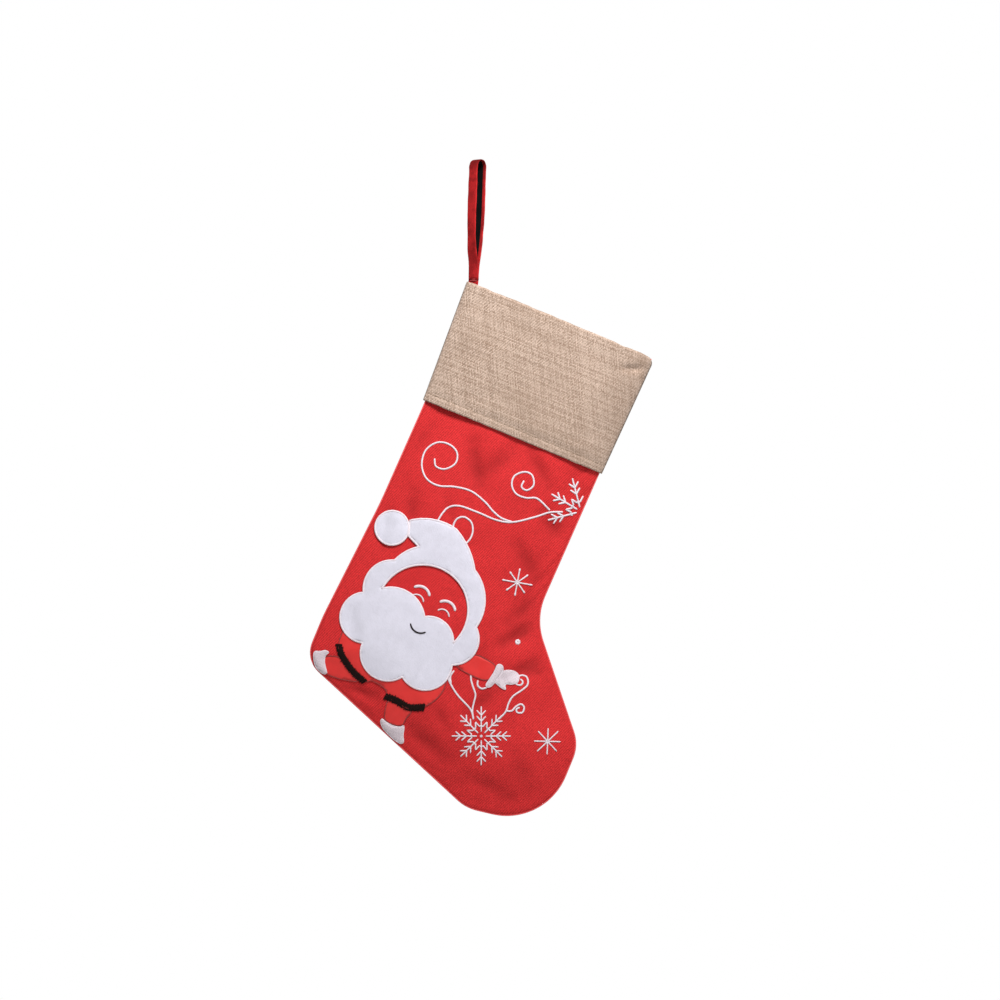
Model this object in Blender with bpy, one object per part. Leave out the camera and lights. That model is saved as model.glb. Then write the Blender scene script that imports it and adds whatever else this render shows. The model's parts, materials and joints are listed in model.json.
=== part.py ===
"""A hanging Christmas stocking: a red body of two lined panels, a turned-down cuff, a hanging loop sewn into
the cuff's back corner, and felt, fabric and thread decoration on the front.

The frame: metres, +Z up. The origin is the inside top of the loop's eye, where a hook carries it. The front
faces -Y and the toe points to +X. The stocking hangs from its back corner, so it leans by LEAN.

Flat shapes are drawn in the stocking's own plane, in millimetres from the cuff's top back corner: x runs
along the cuff's top edge towards the toe side, z runs up the leg. They are then laid over the crown."""

import math

import bmesh
import bpy
from mathutils import Matrix, Vector

MM = 0.001
GAP = 0.3 * MM  # between neighbours that touch

# The stocking's outline, all in millimetres
CUFF_WIDTH = 192.0
CUFF_HEIGHT = 119.0
CUFF_TAPER = 4.5  # the cuff's side edges lean in by this much, top to bottom
LEG_WIDTH = 177.0  # at the calf
LEG_LENGTH = 389.5  # from the mouth to the heel's corner
HEEL_BACK = -4.5  # the heel's back edge, from the cuff's top back corner
CALF_STEP = 9.0  # the calf's back edge stands this far in from the heel's
CALF_END = LEG_LENGTH - 164.5  # below the mouth, where the back edge starts to run out to the heel
HEEL_START = LEG_LENGTH - 44.5  # and where it has arrived
FOOT_LENGTH = 270.0  # from the back edge to the tip of the toe
SOLE_DROP = 0.368  # how far the sole falls for each unit towards the toe
SOLE_LENGTH = 0.7204 * FOOT_LENGTH  # from the back edge to the ball of the foot, where the toe turns up
TOE_RISE = 0.16  # how far the toe's underside rises for each unit
TOE_DEPTH = 83.2  # from the toe's underside to its top, before they are rounded
INSTEP_TOP = LEG_LENGTH - 119.5  # below the mouth, where the instep leaves the front edge
TOE_LOW = -LEG_LENGTH - SOLE_DROP * SOLE_LENGTH + TOE_RISE * (FOOT_LENGTH - SOLE_LENGTH)
INSTEP_DROP = (-INSTEP_TOP - TOE_LOW - TOE_DEPTH) / (FOOT_LENGTH - CALF_STEP - LEG_WIDTH)  # per unit along
HEEL_RADIUS = 25.0
BALL_RADIUS = 40.0
TOE_RADIUS = 60.0
TOE_TOP_RADIUS = 35.0
ANKLE_RADIUS = 60.0
MOUTH_DROP = 1.0  # the leg's panels start this far below the cuff's top edge
EDGE_DROP = 3.0  # and their sides turn away from the cuff's this far below its lower edge
EDGE_RADIUS = 200.0
CALF_RADIUS = 400.0

# Fabric thickness and fullness
LEG_CLOTH = 0.8
LINING_CLOTH = 0.6
CUFF_CLOTH = 1.2
FELT = 0.6
THREAD_HEIGHT = 0.5
THREAD_WIDTH = 1.8
LEG_DEPTH = 11.0  # how far each leg panel stands off the middle plane
CUFF_DEPTH = LEG_DEPTH + 2.5
FULLNESS_RUN = 60.0  # from a side seam to where the panel is at its full depth
FOLD_SHARES = (0.2, 0.42, 0.68, 1.0)  # where in that run a panel bends
FOLD_PITCH = 30  # between the bends of the whole panel and of what lies on it
CUFF_SHARPNESS = 0.75  # below 1, the cuff fills out faster from its side seams than the leg
LINING_INSET = 5.0
LINING_CLEARANCE = 0.7
LEG_INSET_IN_CUFF = 2.6
LAYER_GAP = 0.6
HEM_INSET = 7.5  # the hem's stitch line above the cuff's lower edge
HEM_PULL = 0.9  # how far the hem draws in towards the leg
HEM_PULL_RUN = (2.0, 6.0)  # above the stitch line, where it is drawn in and where it starts to be
HEM_STITCH_END = 2.0  # the stitch line stops this far short of the cuff's sides

# The hanging loop
LOOP_HANG = 112.5  # from the inside top of the eye to where the loop bends at the cuff
LOOP_OFFSET = -4.25  # the bend stands this far to the side of the hook
LOOP_WIDTH = 9.5
LOOP_CLOTH = 1.2
BACKING_WIDTH = 5.2
BACKING_CLOTH = 0.4
EYE_SPREAD = 14.6  # between the two strands, middle to middle
LOOP_TWIST = math.radians(34.0)
TWIST_HEIGHT = 45.0  # the twist is complete this far above the bend
PARTING = 66.0  # the two strands have fully parted this far above the bend
STRANDS_CLEAR = 0.4  # between them and the middle, where they come together
STRAND_STEPS = (0.0, 0.05, 0.12, 0.20, 0.29, 0.39, 0.50, 0.62, 0.74, 0.86, 1.0)  # shares of a strand's height
TACK_RADIUS = 2.0
TACK_LENGTH = 4.0
BEND_CLEARANCE = 0.5
TAIL_LENGTH = 12.5

LEAN = math.radians(22.5)
CORNER_FROM_BEND = (-LOOP_WIDTH / 2 - 0.25, -4.1)  # the cuff's top back corner, from the bend, in its plane
NOTCH = LOOP_WIDTH + 8.5  # the panels' cut-away corner, which makes room for the loop's sewn ends

# Decoration is drawn for a leg that shows this much below the cuff, and is scaled to the real one
DRAWN_FOR = (270.5, -119.0)  # the length that shows, and where the cuff's lower edge is
DECORATION_SCALE = (LEG_LENGTH - CUFF_HEIGHT) / DRAWN_FOR[0]

# The head of the figure, and how far it tilts in the stocking's plane
HEAD_AT = (80.0, -303.0)
HEAD_TILT = math.radians(-7.5)
FACE_RADIUS = 43.0
POMPOM_AT = (-63.5, 52.5)
POMPOM_RADIUS = 16.0
BORDER_WIDTH = 1.6
BAND_WIDTH = 6.2
FINE_THREAD = 0.8 * THREAD_WIDTH
STAR_ARM = 12.5
SNOWFLAKE_ARM = 27.5
SNOWFLAKE_HUB = 5.0
SNOWFLAKE_BARBS = ((13.0, 5.5), (19.0, 5.5))  # how far out each pair of barbs starts, and its length
EDGE_SNOWFLAKE_ARM = 32.0
DOT_RADIUS = 2.4


def clear_scene():
    for old in list(bpy.data.objects):
        bpy.data.objects.remove(old, do_unlink=True)


def material(name, colour, roughness=0.85):
    made = bpy.data.materials.new(name)
    made.use_nodes = True
    shader = made.node_tree.nodes["Principled BSDF"]
    shader.inputs["Base Color"].default_value = (*colour, 1.0)
    shader.inputs["Roughness"].default_value = roughness
    shader.inputs["Metallic"].default_value = 0.0
    return made


# ---------------------------------------------------------------- plane geometry, in millimetres


def arc_steps(angle):
    return max(2, math.ceil(abs(angle) / math.radians(18)))


def rounded(corners):
    """The open line through corners of (x, z, radius), each corner rounded by an arc of its radius."""
    line = [Vector(corners[0][:2])]
    for before, here, after in zip(corners, corners[1:], corners[2:]):
        point = Vector(here[:2])
        back = (Vector(before[:2]) - point).normalized()
        on = (Vector(after[:2]) - point).normalized()
        turn = math.pi - back.angle(on)
        reach = here[2] * math.tan(turn / 2)
        if reach < 0.01:
            line.append(point)
            continue
        middle = point + (back + on).normalized() * (here[2] / math.cos(turn / 2))
        start = point + back * reach - middle
        sign = 1 if start.x * (point.y - middle.y) - start.y * (point.x - middle.x) > 0 else -1
        steps = arc_steps(turn)
        for i in range(steps + 1):
            a = sign * turn * i / steps
            line.append(middle + Vector((start.x * math.cos(a) - start.y * math.sin(a),
                                         start.x * math.sin(a) + start.y * math.cos(a))))
    line.append(Vector(corners[-1][:2]))
    return line


def bowed(points):
    """The closed outline through points of (x, z, bow): the side that follows a point is an arc that stands
    out to its left by bow, as seen along the outline."""
    outline = []
    for here, after in zip(points, points[1:] + points[:1]):
        start, end, bow = Vector(here[:2]), Vector(after[:2]), here[2]
        outline.append(start)
        if not bow:
            continue
        half = (end - start).length / 2
        quarter = math.atan2(bow, half)
        left = Vector((start.y - end.y, end.x - start.x)).normalized()
        radius = half / math.sin(2 * quarter)
        middle = (start + end) / 2 + left * (bow - radius)
        spoke = start - middle
        steps = arc_steps(4 * quarter)
        for i in range(1, steps):
            a = -4 * quarter * i / steps
            outline.append(middle + Vector((spoke.x * math.cos(a) - spoke.y * math.sin(a),
                                            spoke.x * math.sin(a) + spoke.y * math.cos(a))))
    return outline


def smooth_line(points, steps=3):
    """A Catmull-Rom curve through the points."""
    p = [Vector(q) for q in points]
    p = [p[0] * 2 - p[1]] + p + [p[-1] * 2 - p[-2]]
    line = []
    for a, b, c, d in zip(p, p[1:], p[2:], p[3:]):
        for i in range(steps):
            t = i / steps
            line.append(0.5 * (2 * b + (c - a) * t + (2 * a - 5 * b + 4 * c - d) * t ** 2
                               + (3 * b - a - 3 * c + d) * t ** 3))
    return line + [p[-2]]


def ribbon(line, width):
    """The closed outline of an open line given a width."""
    left, right = [], []
    for i, point in enumerate(line):
        along = (line[min(i + 1, len(line) - 1)] - line[max(i - 1, 0)]).normalized()
        side = Vector((-along.y, along.x)) * width / 2
        left.append(point + side)
        right.append(point - side)
    return left + right[::-1]


def circle(middle, radius, steps=24):
    turn = math.tau / steps
    return [Vector((middle[0] + radius * math.cos(i * turn), middle[1] + radius * math.sin(i * turn)))
            for i in range(steps)]


def on_head(points):
    """Points of (across, up, ...) from the head's middle, taken into the stocking's plane."""
    c, s = math.cos(HEAD_TILT), math.sin(HEAD_TILT)
    return [(HEAD_AT[0] + p[0] * c - p[1] * s, HEAD_AT[1] + p[0] * s + p[1] * c, *p[2:]) for p in points]


def star(middle, arms, length, width, barbs=(), hub=0.0, turned=0.0):
    """A star of straight arms. Each barb is (distance along the arm, length), on both sides of it."""
    slope = math.radians(48)
    outline = []
    root = max(hub, width / 2 / math.tan(math.pi / arms) + 0.2)
    for i in range(arms):
        a = turned + i * math.tau / arms
        out, side = Vector((math.cos(a), math.sin(a))), Vector((-math.sin(a), math.cos(a)))
        edge = [(root, width / 2)]
        for place, reach in barbs:
            tip = (place + reach * math.cos(slope), width / 2 + reach * math.sin(slope))
            edge += [(place, width / 2), tip, (tip[0] + width / 2, tip[1] - width / 2),
                     (place + width, width / 2)]
        edge += [(length, width / 2)]
        outline += [Vector(middle) + out * d - side * h for d, h in edge]
        outline += [Vector(middle) + out * d + side * h for d, h in reversed(edge)]
    return outline


# ---------------------------------------------------------------- the stocking's shape


def cuff_side(toe_side, inset=0.0):
    """The two ends of one of the cuff's side edges, top first."""
    top, low = inset, CUFF_TAPER + inset
    return [(CUFF_WIDTH - top, 0.0), (CUFF_WIDTH - low, -CUFF_HEIGHT)] if toe_side else [
        (top, 0.0), (low, -CUFF_HEIGHT)]


def body_corners(inset=0.0):
    """The stocking's side line from the mouth's back end down, round the foot and up to its front end."""
    heel = HEEL_BACK + inset
    calf = heel + CALF_STEP
    front = HEEL_BACK + CALF_STEP + LEG_WIDTH - inset
    toe = HEEL_BACK + FOOT_LENGTH - inset
    ball = HEEL_BACK + SOLE_LENGTH
    heel_z = -LEG_LENGTH + inset * math.hypot(1, SOLE_DROP)
    ball_z = heel_z - SOLE_DROP * (ball - heel)
    top_back, low_back = cuff_side(False, LEG_INSET_IN_CUFF + inset)
    top_front, low_front = cuff_side(True, LEG_INSET_IN_CUFF + inset)
    instep_z = -INSTEP_TOP - inset * (math.hypot(1, INSTEP_DROP) - INSTEP_DROP)
    return [
        (top_back[0], -MOUTH_DROP, 0.0),
        (low_back[0], low_back[1] - EDGE_DROP, EDGE_RADIUS),
        (calf, -CALF_END, CALF_RADIUS),
        (heel, -HEEL_START, EDGE_RADIUS),
        (heel, heel_z, HEEL_RADIUS - inset),
        (ball, ball_z, BALL_RADIUS),
        (toe, ball_z + TOE_RISE * (toe - ball), TOE_RADIUS - inset),
        (toe, instep_z - INSTEP_DROP * (toe - front), TOE_TOP_RADIUS - inset),
        (front, instep_z, ANKLE_RADIUS + inset),
        (low_front[0], low_front[1] - EDGE_DROP, EDGE_RADIUS),
        (top_front[0], -MOUTH_DROP, 0.0),
    ]


def distance_to(line, point):
    best = 1e9
    for start, end in zip(line, line[1:]):
        side = end - start
        t = max(0.0, min(1.0, (point - start).dot(side) / side.length_squared))
        best = min(best, (start + side * t - point).length)
    return best


def fold_lines(sides):
    """Lines parallel to the given sides of an outline, as (point, direction across), where a panel bends.
    A side is a pair of points with the panel on its left."""
    lines = []
    for start, end in sides:
        a, b = Vector(start[:2]), Vector(end[:2])
        across = Vector((a.y - b.y, b.x - a.x)).normalized()
        lines += [(a + across * FULLNESS_RUN * share, across) for share in FOLD_SHARES]
    return lines


def body_folds():
    _, cuff_back, _, _, heel, ball, _, toe, ankle, cuff_front, _ = body_corners()
    return fold_lines([(cuff_back, heel), (heel, ball), (toe, ankle), (ankle, cuff_front)])


def grid_lines():
    """Extra lines across the stocking, so that what lies on a panel bends as the panel does."""
    first = FOLD_PITCH // 2
    upright = [(Vector((x, 0)), Vector((1, 0))) for x in range(first, int(FOOT_LENGTH), FOLD_PITCH)]
    heights = range(int(CUFF_HEIGHT) + first, int(-TOE_LOW), FOLD_PITCH)
    level = [(Vector((0, -z)), Vector((0, 1))) for z in heights]
    return upright + level


BODY_LINE = rounded(body_corners())
SHEET_FOLDS = body_folds() + grid_lines()
LINING_LINE = rounded(body_corners(LINING_INSET))


def leg_crown(point, line=BODY_LINE, depth=LEG_DEPTH):
    """How far a panel's inner face stands off the middle plane at a point of the stocking's plane."""
    share = min(1.0, distance_to(line, point) / FULLNESS_RUN)
    return GAP / MM / 2 + depth * math.sin(math.pi / 2 * share)


def lining_crown(point):
    return leg_crown(point, LINING_LINE, LEG_DEPTH - LINING_CLOTH - LINING_CLEARANCE)


def cuff_crown(point):
    edges = [[Vector(p) * 3 - Vector(q) * 2, Vector(q) * 3 - Vector(p) * 2]
             for p, q in (cuff_side(False), cuff_side(True))]
    share = min(1.0, min(distance_to(edge, point) for edge in edges) / FULLNESS_RUN)
    drawn, free = HEM_PULL_RUN
    pull = max(0.0, min(1.0, (free - (point.y + CUFF_HEIGHT - HEM_INSET)) / (free - drawn)))
    return GAP / MM / 2 + (CUFF_DEPTH - HEM_PULL * pull) * math.sin(math.pi / 2 * share ** CUFF_SHARPNESS)


def above_cuff(point):
    return cuff_crown(point) + CUFF_CLOTH + LAYER_GAP


def layer(level):
    """The crown for the inner face of decoration: level 0 lies on the leg, level 1 on that, and so on."""
    def inner_face(point):
        return leg_crown(point) + LEG_CLOTH + LAYER_GAP + level * (FELT + LAYER_GAP)

    return inner_face


# ---------------------------------------------------------------- solids


def finish(name, mesh_data, paint, parent, smooth=True):
    mesh = bpy.data.meshes.new(name)
    bmesh.ops.recalc_face_normals(mesh_data, faces=mesh_data.faces)
    mesh_data.to_mesh(mesh)
    mesh_data.free()
    mesh.materials.append(paint)
    if smooth:
        mesh.shade_smooth()
        mesh.set_sharp_from_angle(angle=math.radians(35))
    made = bpy.data.objects.new(name, mesh)
    bpy.context.scene.collection.objects.link(made)
    made.parent = parent
    return made


def sheet(name, outline, crown, cloth, paint, parent, folds=SHEET_FOLDS, back=False, hole=None):
    """A sheet of cloth with this outline, bent along the folds to the crown and given its thickness.
    A hole is a second outline inside the first."""
    shape = bmesh.new()
    outlines = [outline, hole] if hole else [outline]
    rings = [[shape.verts.new((p[0], 0, p[1])) for p in ring] for ring in outlines]
    edges = [shape.edges.new((a, b)) for ring in rings for a, b in zip(ring, ring[1:] + ring[:1])]
    if hole:
        bmesh.ops.triangle_fill(shape, use_beauty=True, edges=edges)
    else:
        shape.faces.new(rings[0])
    for point, across in folds:
        whole = shape.verts[:] + shape.edges[:] + shape.faces[:]
        bmesh.ops.bisect_plane(shape, geom=whole, dist=0.02, plane_co=(point.x, 0, point.y),
                               plane_no=(across.x, 0, across.y))
    bmesh.ops.triangulate(shape, faces=shape.faces)
    side = 1 if back else -1
    for vert in shape.verts:
        vert.co.y = side * crown(Vector((vert.co.x, vert.co.z)))
    grown = bmesh.ops.extrude_face_region(shape, geom=shape.faces[:], use_keep_orig=True)
    outer = [v for v in grown["geom"] if isinstance(v, bmesh.types.BMVert)]
    bmesh.ops.translate(shape, verts=outer, vec=(0, side * cloth, 0))
    corner = Matrix.Translation((CORNER_FROM_BEND[0], 0, CORNER_FROM_BEND[1]))
    bmesh.ops.transform(shape, matrix=Matrix.Scale(MM, 4) @ corner, verts=shape.verts)
    return finish(name, shape, paint, parent)


def strap(name, path, width, cloth, offset, shift, paint, parent):
    """A flat strap swept along a path of (middle, across, outward) frames, in millimetres."""
    shape = bmesh.new()
    rows = []
    for middle, across, outward in path:
        corners = [(shift - width / 2, offset), (shift + width / 2, offset),
                   (shift + width / 2, offset + cloth), (shift - width / 2, offset + cloth)]
        rows.append([shape.verts.new((middle + across * a + outward * n) * MM) for a, n in corners])
    for row, after in zip(rows, rows[1:]):
        for i in range(4):
            j = (i + 1) % 4
            shape.faces.new((row[i], row[j], after[j], after[i]))
    shape.faces.new(rows[0])
    shape.faces.new(rows[-1])
    bmesh.ops.triangulate(shape, faces=shape.faces)
    return finish(name, shape, paint, parent)


def box(name, size, middle, paint, parent, turn=0.0):
    shape = bmesh.new()
    bmesh.ops.create_cube(shape, size=1.0)
    bmesh.ops.scale(shape, vec=Vector(size) * MM, verts=shape.verts)
    place = Matrix.Rotation(turn, 4, "Y") @ Matrix.Translation(Vector(middle) * MM)
    bmesh.ops.transform(shape, matrix=place, verts=shape.verts)
    return finish(name, shape, paint, parent, smooth=False)


# ---------------------------------------------------------------- the loop


def loop_path():
    """Frames along the loop, from the bend up the right strand, round the top and down the left strand."""
    inner = LOOP_CLOTH / 2 + GAP / MM + BACKING_CLOTH
    radius = EYE_SPREAD / 2
    top = inner - radius
    low = -LOOP_HANG + TACK_RADIUS + BEND_CLEARANCE
    closed = inner + STRANDS_CLEAR
    rise = [share * (top - low) for share in STRAND_STEPS]

    def strand(height, sign):
        share = math.sin(math.pi / 2 * min(1.0, height / PARTING)) ** 1.1
        return sign * (closed + (radius - closed) * share), low + height

    points = [strand(height, 1) for height in rise]
    points += [(radius * math.cos(a), top + radius * math.sin(a))
               for a in [math.pi * i / 10 for i in range(1, 10)]]
    points += [strand(height, -1) for height in reversed(rise)]

    frames = []
    for i, (spread, z) in enumerate(points):
        before, after = points[max(i - 1, 0)], points[min(i + 1, len(points) - 1)]
        along = Vector((after[0] - before[0], after[1] - before[1])).normalized()
        done = max(0.0, min(1.0, (z - low) / TWIST_HEIGHT))
        twist = LOOP_TWIST * done * done * (3 - 2 * done)
        across = Vector((math.cos(twist), -math.sin(twist), 0))
        through = Vector((math.sin(twist), math.cos(twist), 0))
        middle = through * spread + Vector((LOOP_OFFSET * z / -LOOP_HANG, 0, z))
        frames.append((middle, across, through * along.y - Vector((0, 0, along.x))))
    return frames


def build_loop(red, black, hook, bend, seam):
    path = loop_path()
    strap("loop_strip", path, LOOP_WIDTH, LOOP_CLOTH, -LOOP_CLOTH / 2, 0.0, red, hook)
    inside = -(LOOP_CLOTH / 2 + GAP / MM + BACKING_CLOTH)
    shift = (BACKING_WIDTH - LOOP_WIDTH) / 2
    strap("loop_backing", path, BACKING_WIDTH, BACKING_CLOTH, inside, shift, black, hook)
    tack = bmesh.new()
    across = Matrix.Rotation(math.pi / 2, 4, "X")
    bmesh.ops.create_cone(tack, cap_ends=True, segments=12, radius1=TACK_RADIUS * MM,
                          radius2=TACK_RADIUS * MM, depth=TACK_LENGTH * MM, matrix=across)
    finish("loop_tack", tack, red, bend)
    clear = math.hypot(TACK_RADIUS, TACK_LENGTH / 2) + BEND_CLEARANCE
    box("loop_ends", (LOOP_WIDTH, 2 * LOOP_CLOTH, TAIL_LENGTH), (0, 0, -clear - TAIL_LENGTH / 2), red, seam,
        turn=-LEAN)


# ---------------------------------------------------------------- body, lining and cuff


def panel_outline(corners):
    """A panel's closed outline, its back top corner cut away to make room for the loop's sewn ends."""
    line = rounded(corners)
    top = corners[0][0]
    cut = [Vector((top + NOTCH, -MOUTH_DROP)), Vector((top + NOTCH, -NOTCH * 2 / 3))]
    return [Vector((top + MOUTH_DROP / 2, -NOTCH)), *line[1:], *cut]


def build_body(red, lining, seam):
    for back, word in ((False, "front"), (True, "back")):
        sheet(f"leg_{word}", panel_outline(body_corners()), leg_crown, LEG_CLOTH, red, seam, back=back)
        sheet(f"lining_{word}", panel_outline(body_corners(LINING_INSET)), lining_crown, LINING_CLOTH,
              lining, seam, back=back)


def build_cuff(burlap, beige_thread, seam):
    left, right = cuff_side(False), cuff_side(True)
    outline = [left[0], left[1], right[1], right[0]]
    folds = fold_lines([(left[0], left[1]), (right[1], right[0])])
    folds += [(Vector((0, HEM_INSET - CUFF_HEIGHT + rise)), Vector((0, 1))) for rise in HEM_PULL_RUN]
    lift = (CUFF_HEIGHT - HEM_INSET) / CUFF_HEIGHT
    start = Vector(left[0]).lerp(Vector(left[1]), lift) + Vector((HEM_STITCH_END, 0))
    end = Vector(right[0]).lerp(Vector(right[1]), lift) - Vector((HEM_STITCH_END, 0))
    line = [start.lerp(end, i / 8) for i in range(9)]
    for back, word in ((False, "front"), (True, "back")):
        sheet(f"cuff_{word}", outline, cuff_crown, CUFF_CLOTH, burlap, seam, folds, back)
        sheet(f"cuff_hem_stitch_{word}", ribbon(line, THREAD_WIDTH), above_cuff, THREAD_HEIGHT, beige_thread,
              seam, folds, back)


# ---------------------------------------------------------------- decoration


def motif(name, outline, level, cloth, paint, seam, hole=None):
    """A piece of decoration, scaled with the leg."""
    def placed(ring):
        low = Vector((0, -CUFF_HEIGHT))
        return [low + (Vector(p[:2]) - Vector((0, DRAWN_FOR[1]))) * DECORATION_SCALE for p in ring]

    return sheet(name, placed(outline), layer(level), cloth, paint, seam, hole=hole and placed(hole))


def build_figure(felt, coat, black, seam):
    motif("coat", bowed([
        (25, -340, 0), (74, -350, 0), (117, -346, 0), (127.5, -357, 5), (117, -387, 2), (104, -394, 0),
        (79.5, -391.6, 0), (77.5, -385.3, 0), (61, -382.5, 0), (57, -386.5, 0), (50, -389, 0), (36, -382, 0),
        (24, -373.5, 1), (18.5, -356, 0)]), 0, FELT, coat, seam)
    motif("sleeve", bowed([(136, -320.5, 0), (163.3, -324.9, 0), (164.1, -330, 0), (162.7, -338.5, 0),
                           (161.6, -343.4, 0), (126, -340.5, 0)]), 0, FELT, coat, seam)
    motif("trouser_left", bowed([(11.8, -378.9, 0), (23, -374.8, 0), (35.4, -383.2, 0), (49.5, -390.3, 0),
                                 (21, -394.4, 0), (17, -389.7, 0), (13, -383.2, 0)]), 0, FELT, coat, seam)
    motif("trouser_right", bowed([(82, -393.4, 0), (104, -395.2, 0), (108, -396.5, 0), (104.7, -404.4, 0),
                                  (104.6, -412, 0), (96, -414.2, 0), (86.5, -413.2, 0), (83.8, -405.5, 0)]),
          0, FELT, coat, seam)
    for side, line in (("left", [(19.4, -363.7), (25.9, -372.1), (40.7, -381.8), (55.5, -387.3)]),
                       ("right", [(78.7, -392.3), (89.8, -391.8), (103.7, -393.2), (117, -387.3)])):
        motif(f"band_{side}", ribbon(smooth_line(line), BAND_WIDTH), 1, THREAD_HEIGHT, black, seam)
    motif("hat_and_beard", hat_and_beard_line(), 1, FELT, felt, seam, hole=face_line())
    motif("pompom", circle(on_head([POMPOM_AT])[0], POMPOM_RADIUS), 1, FELT, felt, seam)


def hat_and_beard_line():
    """The felt's outer edge, clockwise: the hat from its tail over the crown, hair and beard in lobes down
    the toe side, round the chin and up to the ear, and the hat's brim."""
    return bowed(on_head([
        (-52, 67, 5), (-10, 81.5, 3), (24, 57, 9), (52, 11, 12), (50, -31, 18), (15, -64, 18), (-33, -55, 22),
        (-56, -14, 10), (-46, 27, 2), (-32, 50, 0), (-46, 54, 0)]))


def face_line():
    """The face opening: two arcs above, with the moustache's two lobes rising into it from below."""
    return bowed(on_head([
        (-FACE_RADIUS, -2, 13), (0, FACE_RADIUS, 18), (FACE_RADIUS - 2, -13, -9), (5, -5, -11)]))


def arch(start, end, bow):
    """The open arc from start to end, on the head, that stands out to its left by bow."""
    return bowed(on_head([(*start, bow), (*end, 0)]))


def build_threads(white_thread, black, seam):
    def stroke(name, line, level=0, width=THREAD_WIDTH, paint=white_thread):
        motif(name, ribbon(line, width), level, THREAD_HEIGHT, paint, seam)

    def border(name, outer, inner):
        motif(name, outer, 2, THREAD_HEIGHT, white_thread, seam, hole=inner)

    def filled(name, outline):
        motif(name, outline, 0, THREAD_HEIGHT, white_thread, seam)

    border("felt_border", hat_and_beard_line(), shrunk(hat_and_beard_line(), BORDER_WIDTH))
    border("face_border", shrunk(face_line(), -BORDER_WIDTH), face_line())
    ball = on_head([POMPOM_AT])[0]
    border("pompom_border", circle(ball, POMPOM_RADIUS), circle(ball, POMPOM_RADIUS - BORDER_WIDTH))

    for side, middle in (("left", -9.0), ("right", 19.0)):
        stroke(f"brow_{side}", arch((middle - 8, 15), (middle + 8, 15), 4.0), width=1.5 * THREAD_WIDTH)
        stroke(f"eyelid_{side}", arch((middle - 6, 7), (middle + 6, 7), 3.5), width=FINE_THREAD)
    stroke("smile", arch((-3, -17), (13, -17), -4.0), level=2, width=FINE_THREAD, paint=black)

    filled("mitten", bowed([
        (165, -323, 0), (170, -322.5, 0), (172, -326, 0), (175.5, -325, 1), (183, -323.5, 1), (189, -326.5, 1),
        (189.5, -332.5, 1), (184.6, -335.8, 0), (180, -336.8, 0), (182, -342.8, 0), (172.5, -340.8, 0),
        (169.3, -341.5, 0), (166.5, -347, 0), (162.5, -346.5, 0), (164.2, -339, 0), (165.7, -330, 0)]))
    filled("boot_left", bowed([
        (-0.4, -378.9, 0), (5.6, -377.2, 0), (10, -373.7, 0), (13.6, -374.4, 0), (9.8, -377.4, 0),
        (11, -383.6, 0), (15.2, -390.1, 0), (18.4, -393.6, 0), (15.8, -394.8, 0), (7.6, -391.3, 1),
        (2.5, -385.5, 0)]))
    filled("boot_right", bowed([
        (84.4, -412.8, 0), (87.7, -414.9, 0), (97.2, -415.9, 0), (103.9, -413.9, 0), (105.6, -410.9, 0),
        (107.1, -414.2, 0), (108.3, -420.4, 0), (111.4, -425.2, 1), (109.8, -428.2, 1), (102.2, -427, 0),
        (90.2, -422.3, 0), (83.6, -415.8, 0)]))

    strokes = {
        "swirl_large": [(36, -167), (40, -173), (49, -172), (56, -163), (53, -153), (43, -149), (32, -152),
                        (25, -163), (27, -177), (36, -187), (49, -189), (64, -184), (80, -182), (96, -186.5),
                        (106, -190), (113, -191.5)],
        "swirl_from_hat": [(63, -215), (65, -205), (74, -199), (93, -198), (112, -198), (127, -194), (144, -182),
                           (153, -173)],
        "curl_on_hat": [(78, -218), (77, -211), (83, -207), (91, -209), (95, -217), (95, -223)],
        "swirl_small": [(122, -154), (122, -160), (128, -161), (132, -154), (127, -146), (119, -146),
                        (112, -153), (113, -162), (120, -168), (130, -168), (138, -164),
                        (146, -167)],
        "scroll_left": [(133, -360), (138, -364), (145, -368), (156, -373)],
        "scroll_middle": [(149, -348), (156, -355), (159, -363), (159, -369)],
        "scroll_right": [(188, -362), (187, -356), (188, -350), (192, -341), (197, -334), (199, -328),
                         (195, -323)],
        "scroll_curl": [(191, -360), (195, -355), (200, -352), (204, -355)],
    }
    for name, points in strokes.items():
        stroke(name, smooth_line(points))

    filled("star_upper", star((153, -245), 8, STAR_ARM, FINE_THREAD))
    filled("star_lower", star((FOOT_LENGTH - 33.0, -373), 8, STAR_ARM, FINE_THREAD))
    filled("stitched_dot", circle((175, -297), DOT_RADIUS, 10))
    filled("snowflake_foot", star((177, -392), 8, SNOWFLAKE_ARM, FINE_THREAD, SNOWFLAKE_BARBS, SNOWFLAKE_HUB,
                                  math.radians(22.5)))
    filled("snowflake_edge", edge_snowflake())


def edge_snowflake():
    """Half of a snowflake: the front seam cuts it, so only the arms on the leg's side are stitched."""
    middle, inner, half = Vector((183.0, -160.0)), 7.0, FINE_THREAD / 2
    outline = []
    for turn in (127, 172, 217):
        a = math.radians(turn)
        out, side = Vector((math.cos(a), math.sin(a))), Vector((-math.sin(a), math.cos(a)))
        rows = [(inner, half)]
        for barb in (14.0, 21.0):
            rows += [(barb, half), (barb + 4.0, 4.6), (barb + 5.0, 4.0), (barb + 1.6, half)]
        rows += [(EDGE_SNOWFLAKE_ARM, half)]
        outline += [middle + out * d - side * h for d, h in rows]
        outline += [middle + out * d + side * h for d, h in reversed(rows)]
    return outline + [middle + Vector((-4.5, -7.0)), middle + Vector((-4.0, 5.0))]


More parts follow.
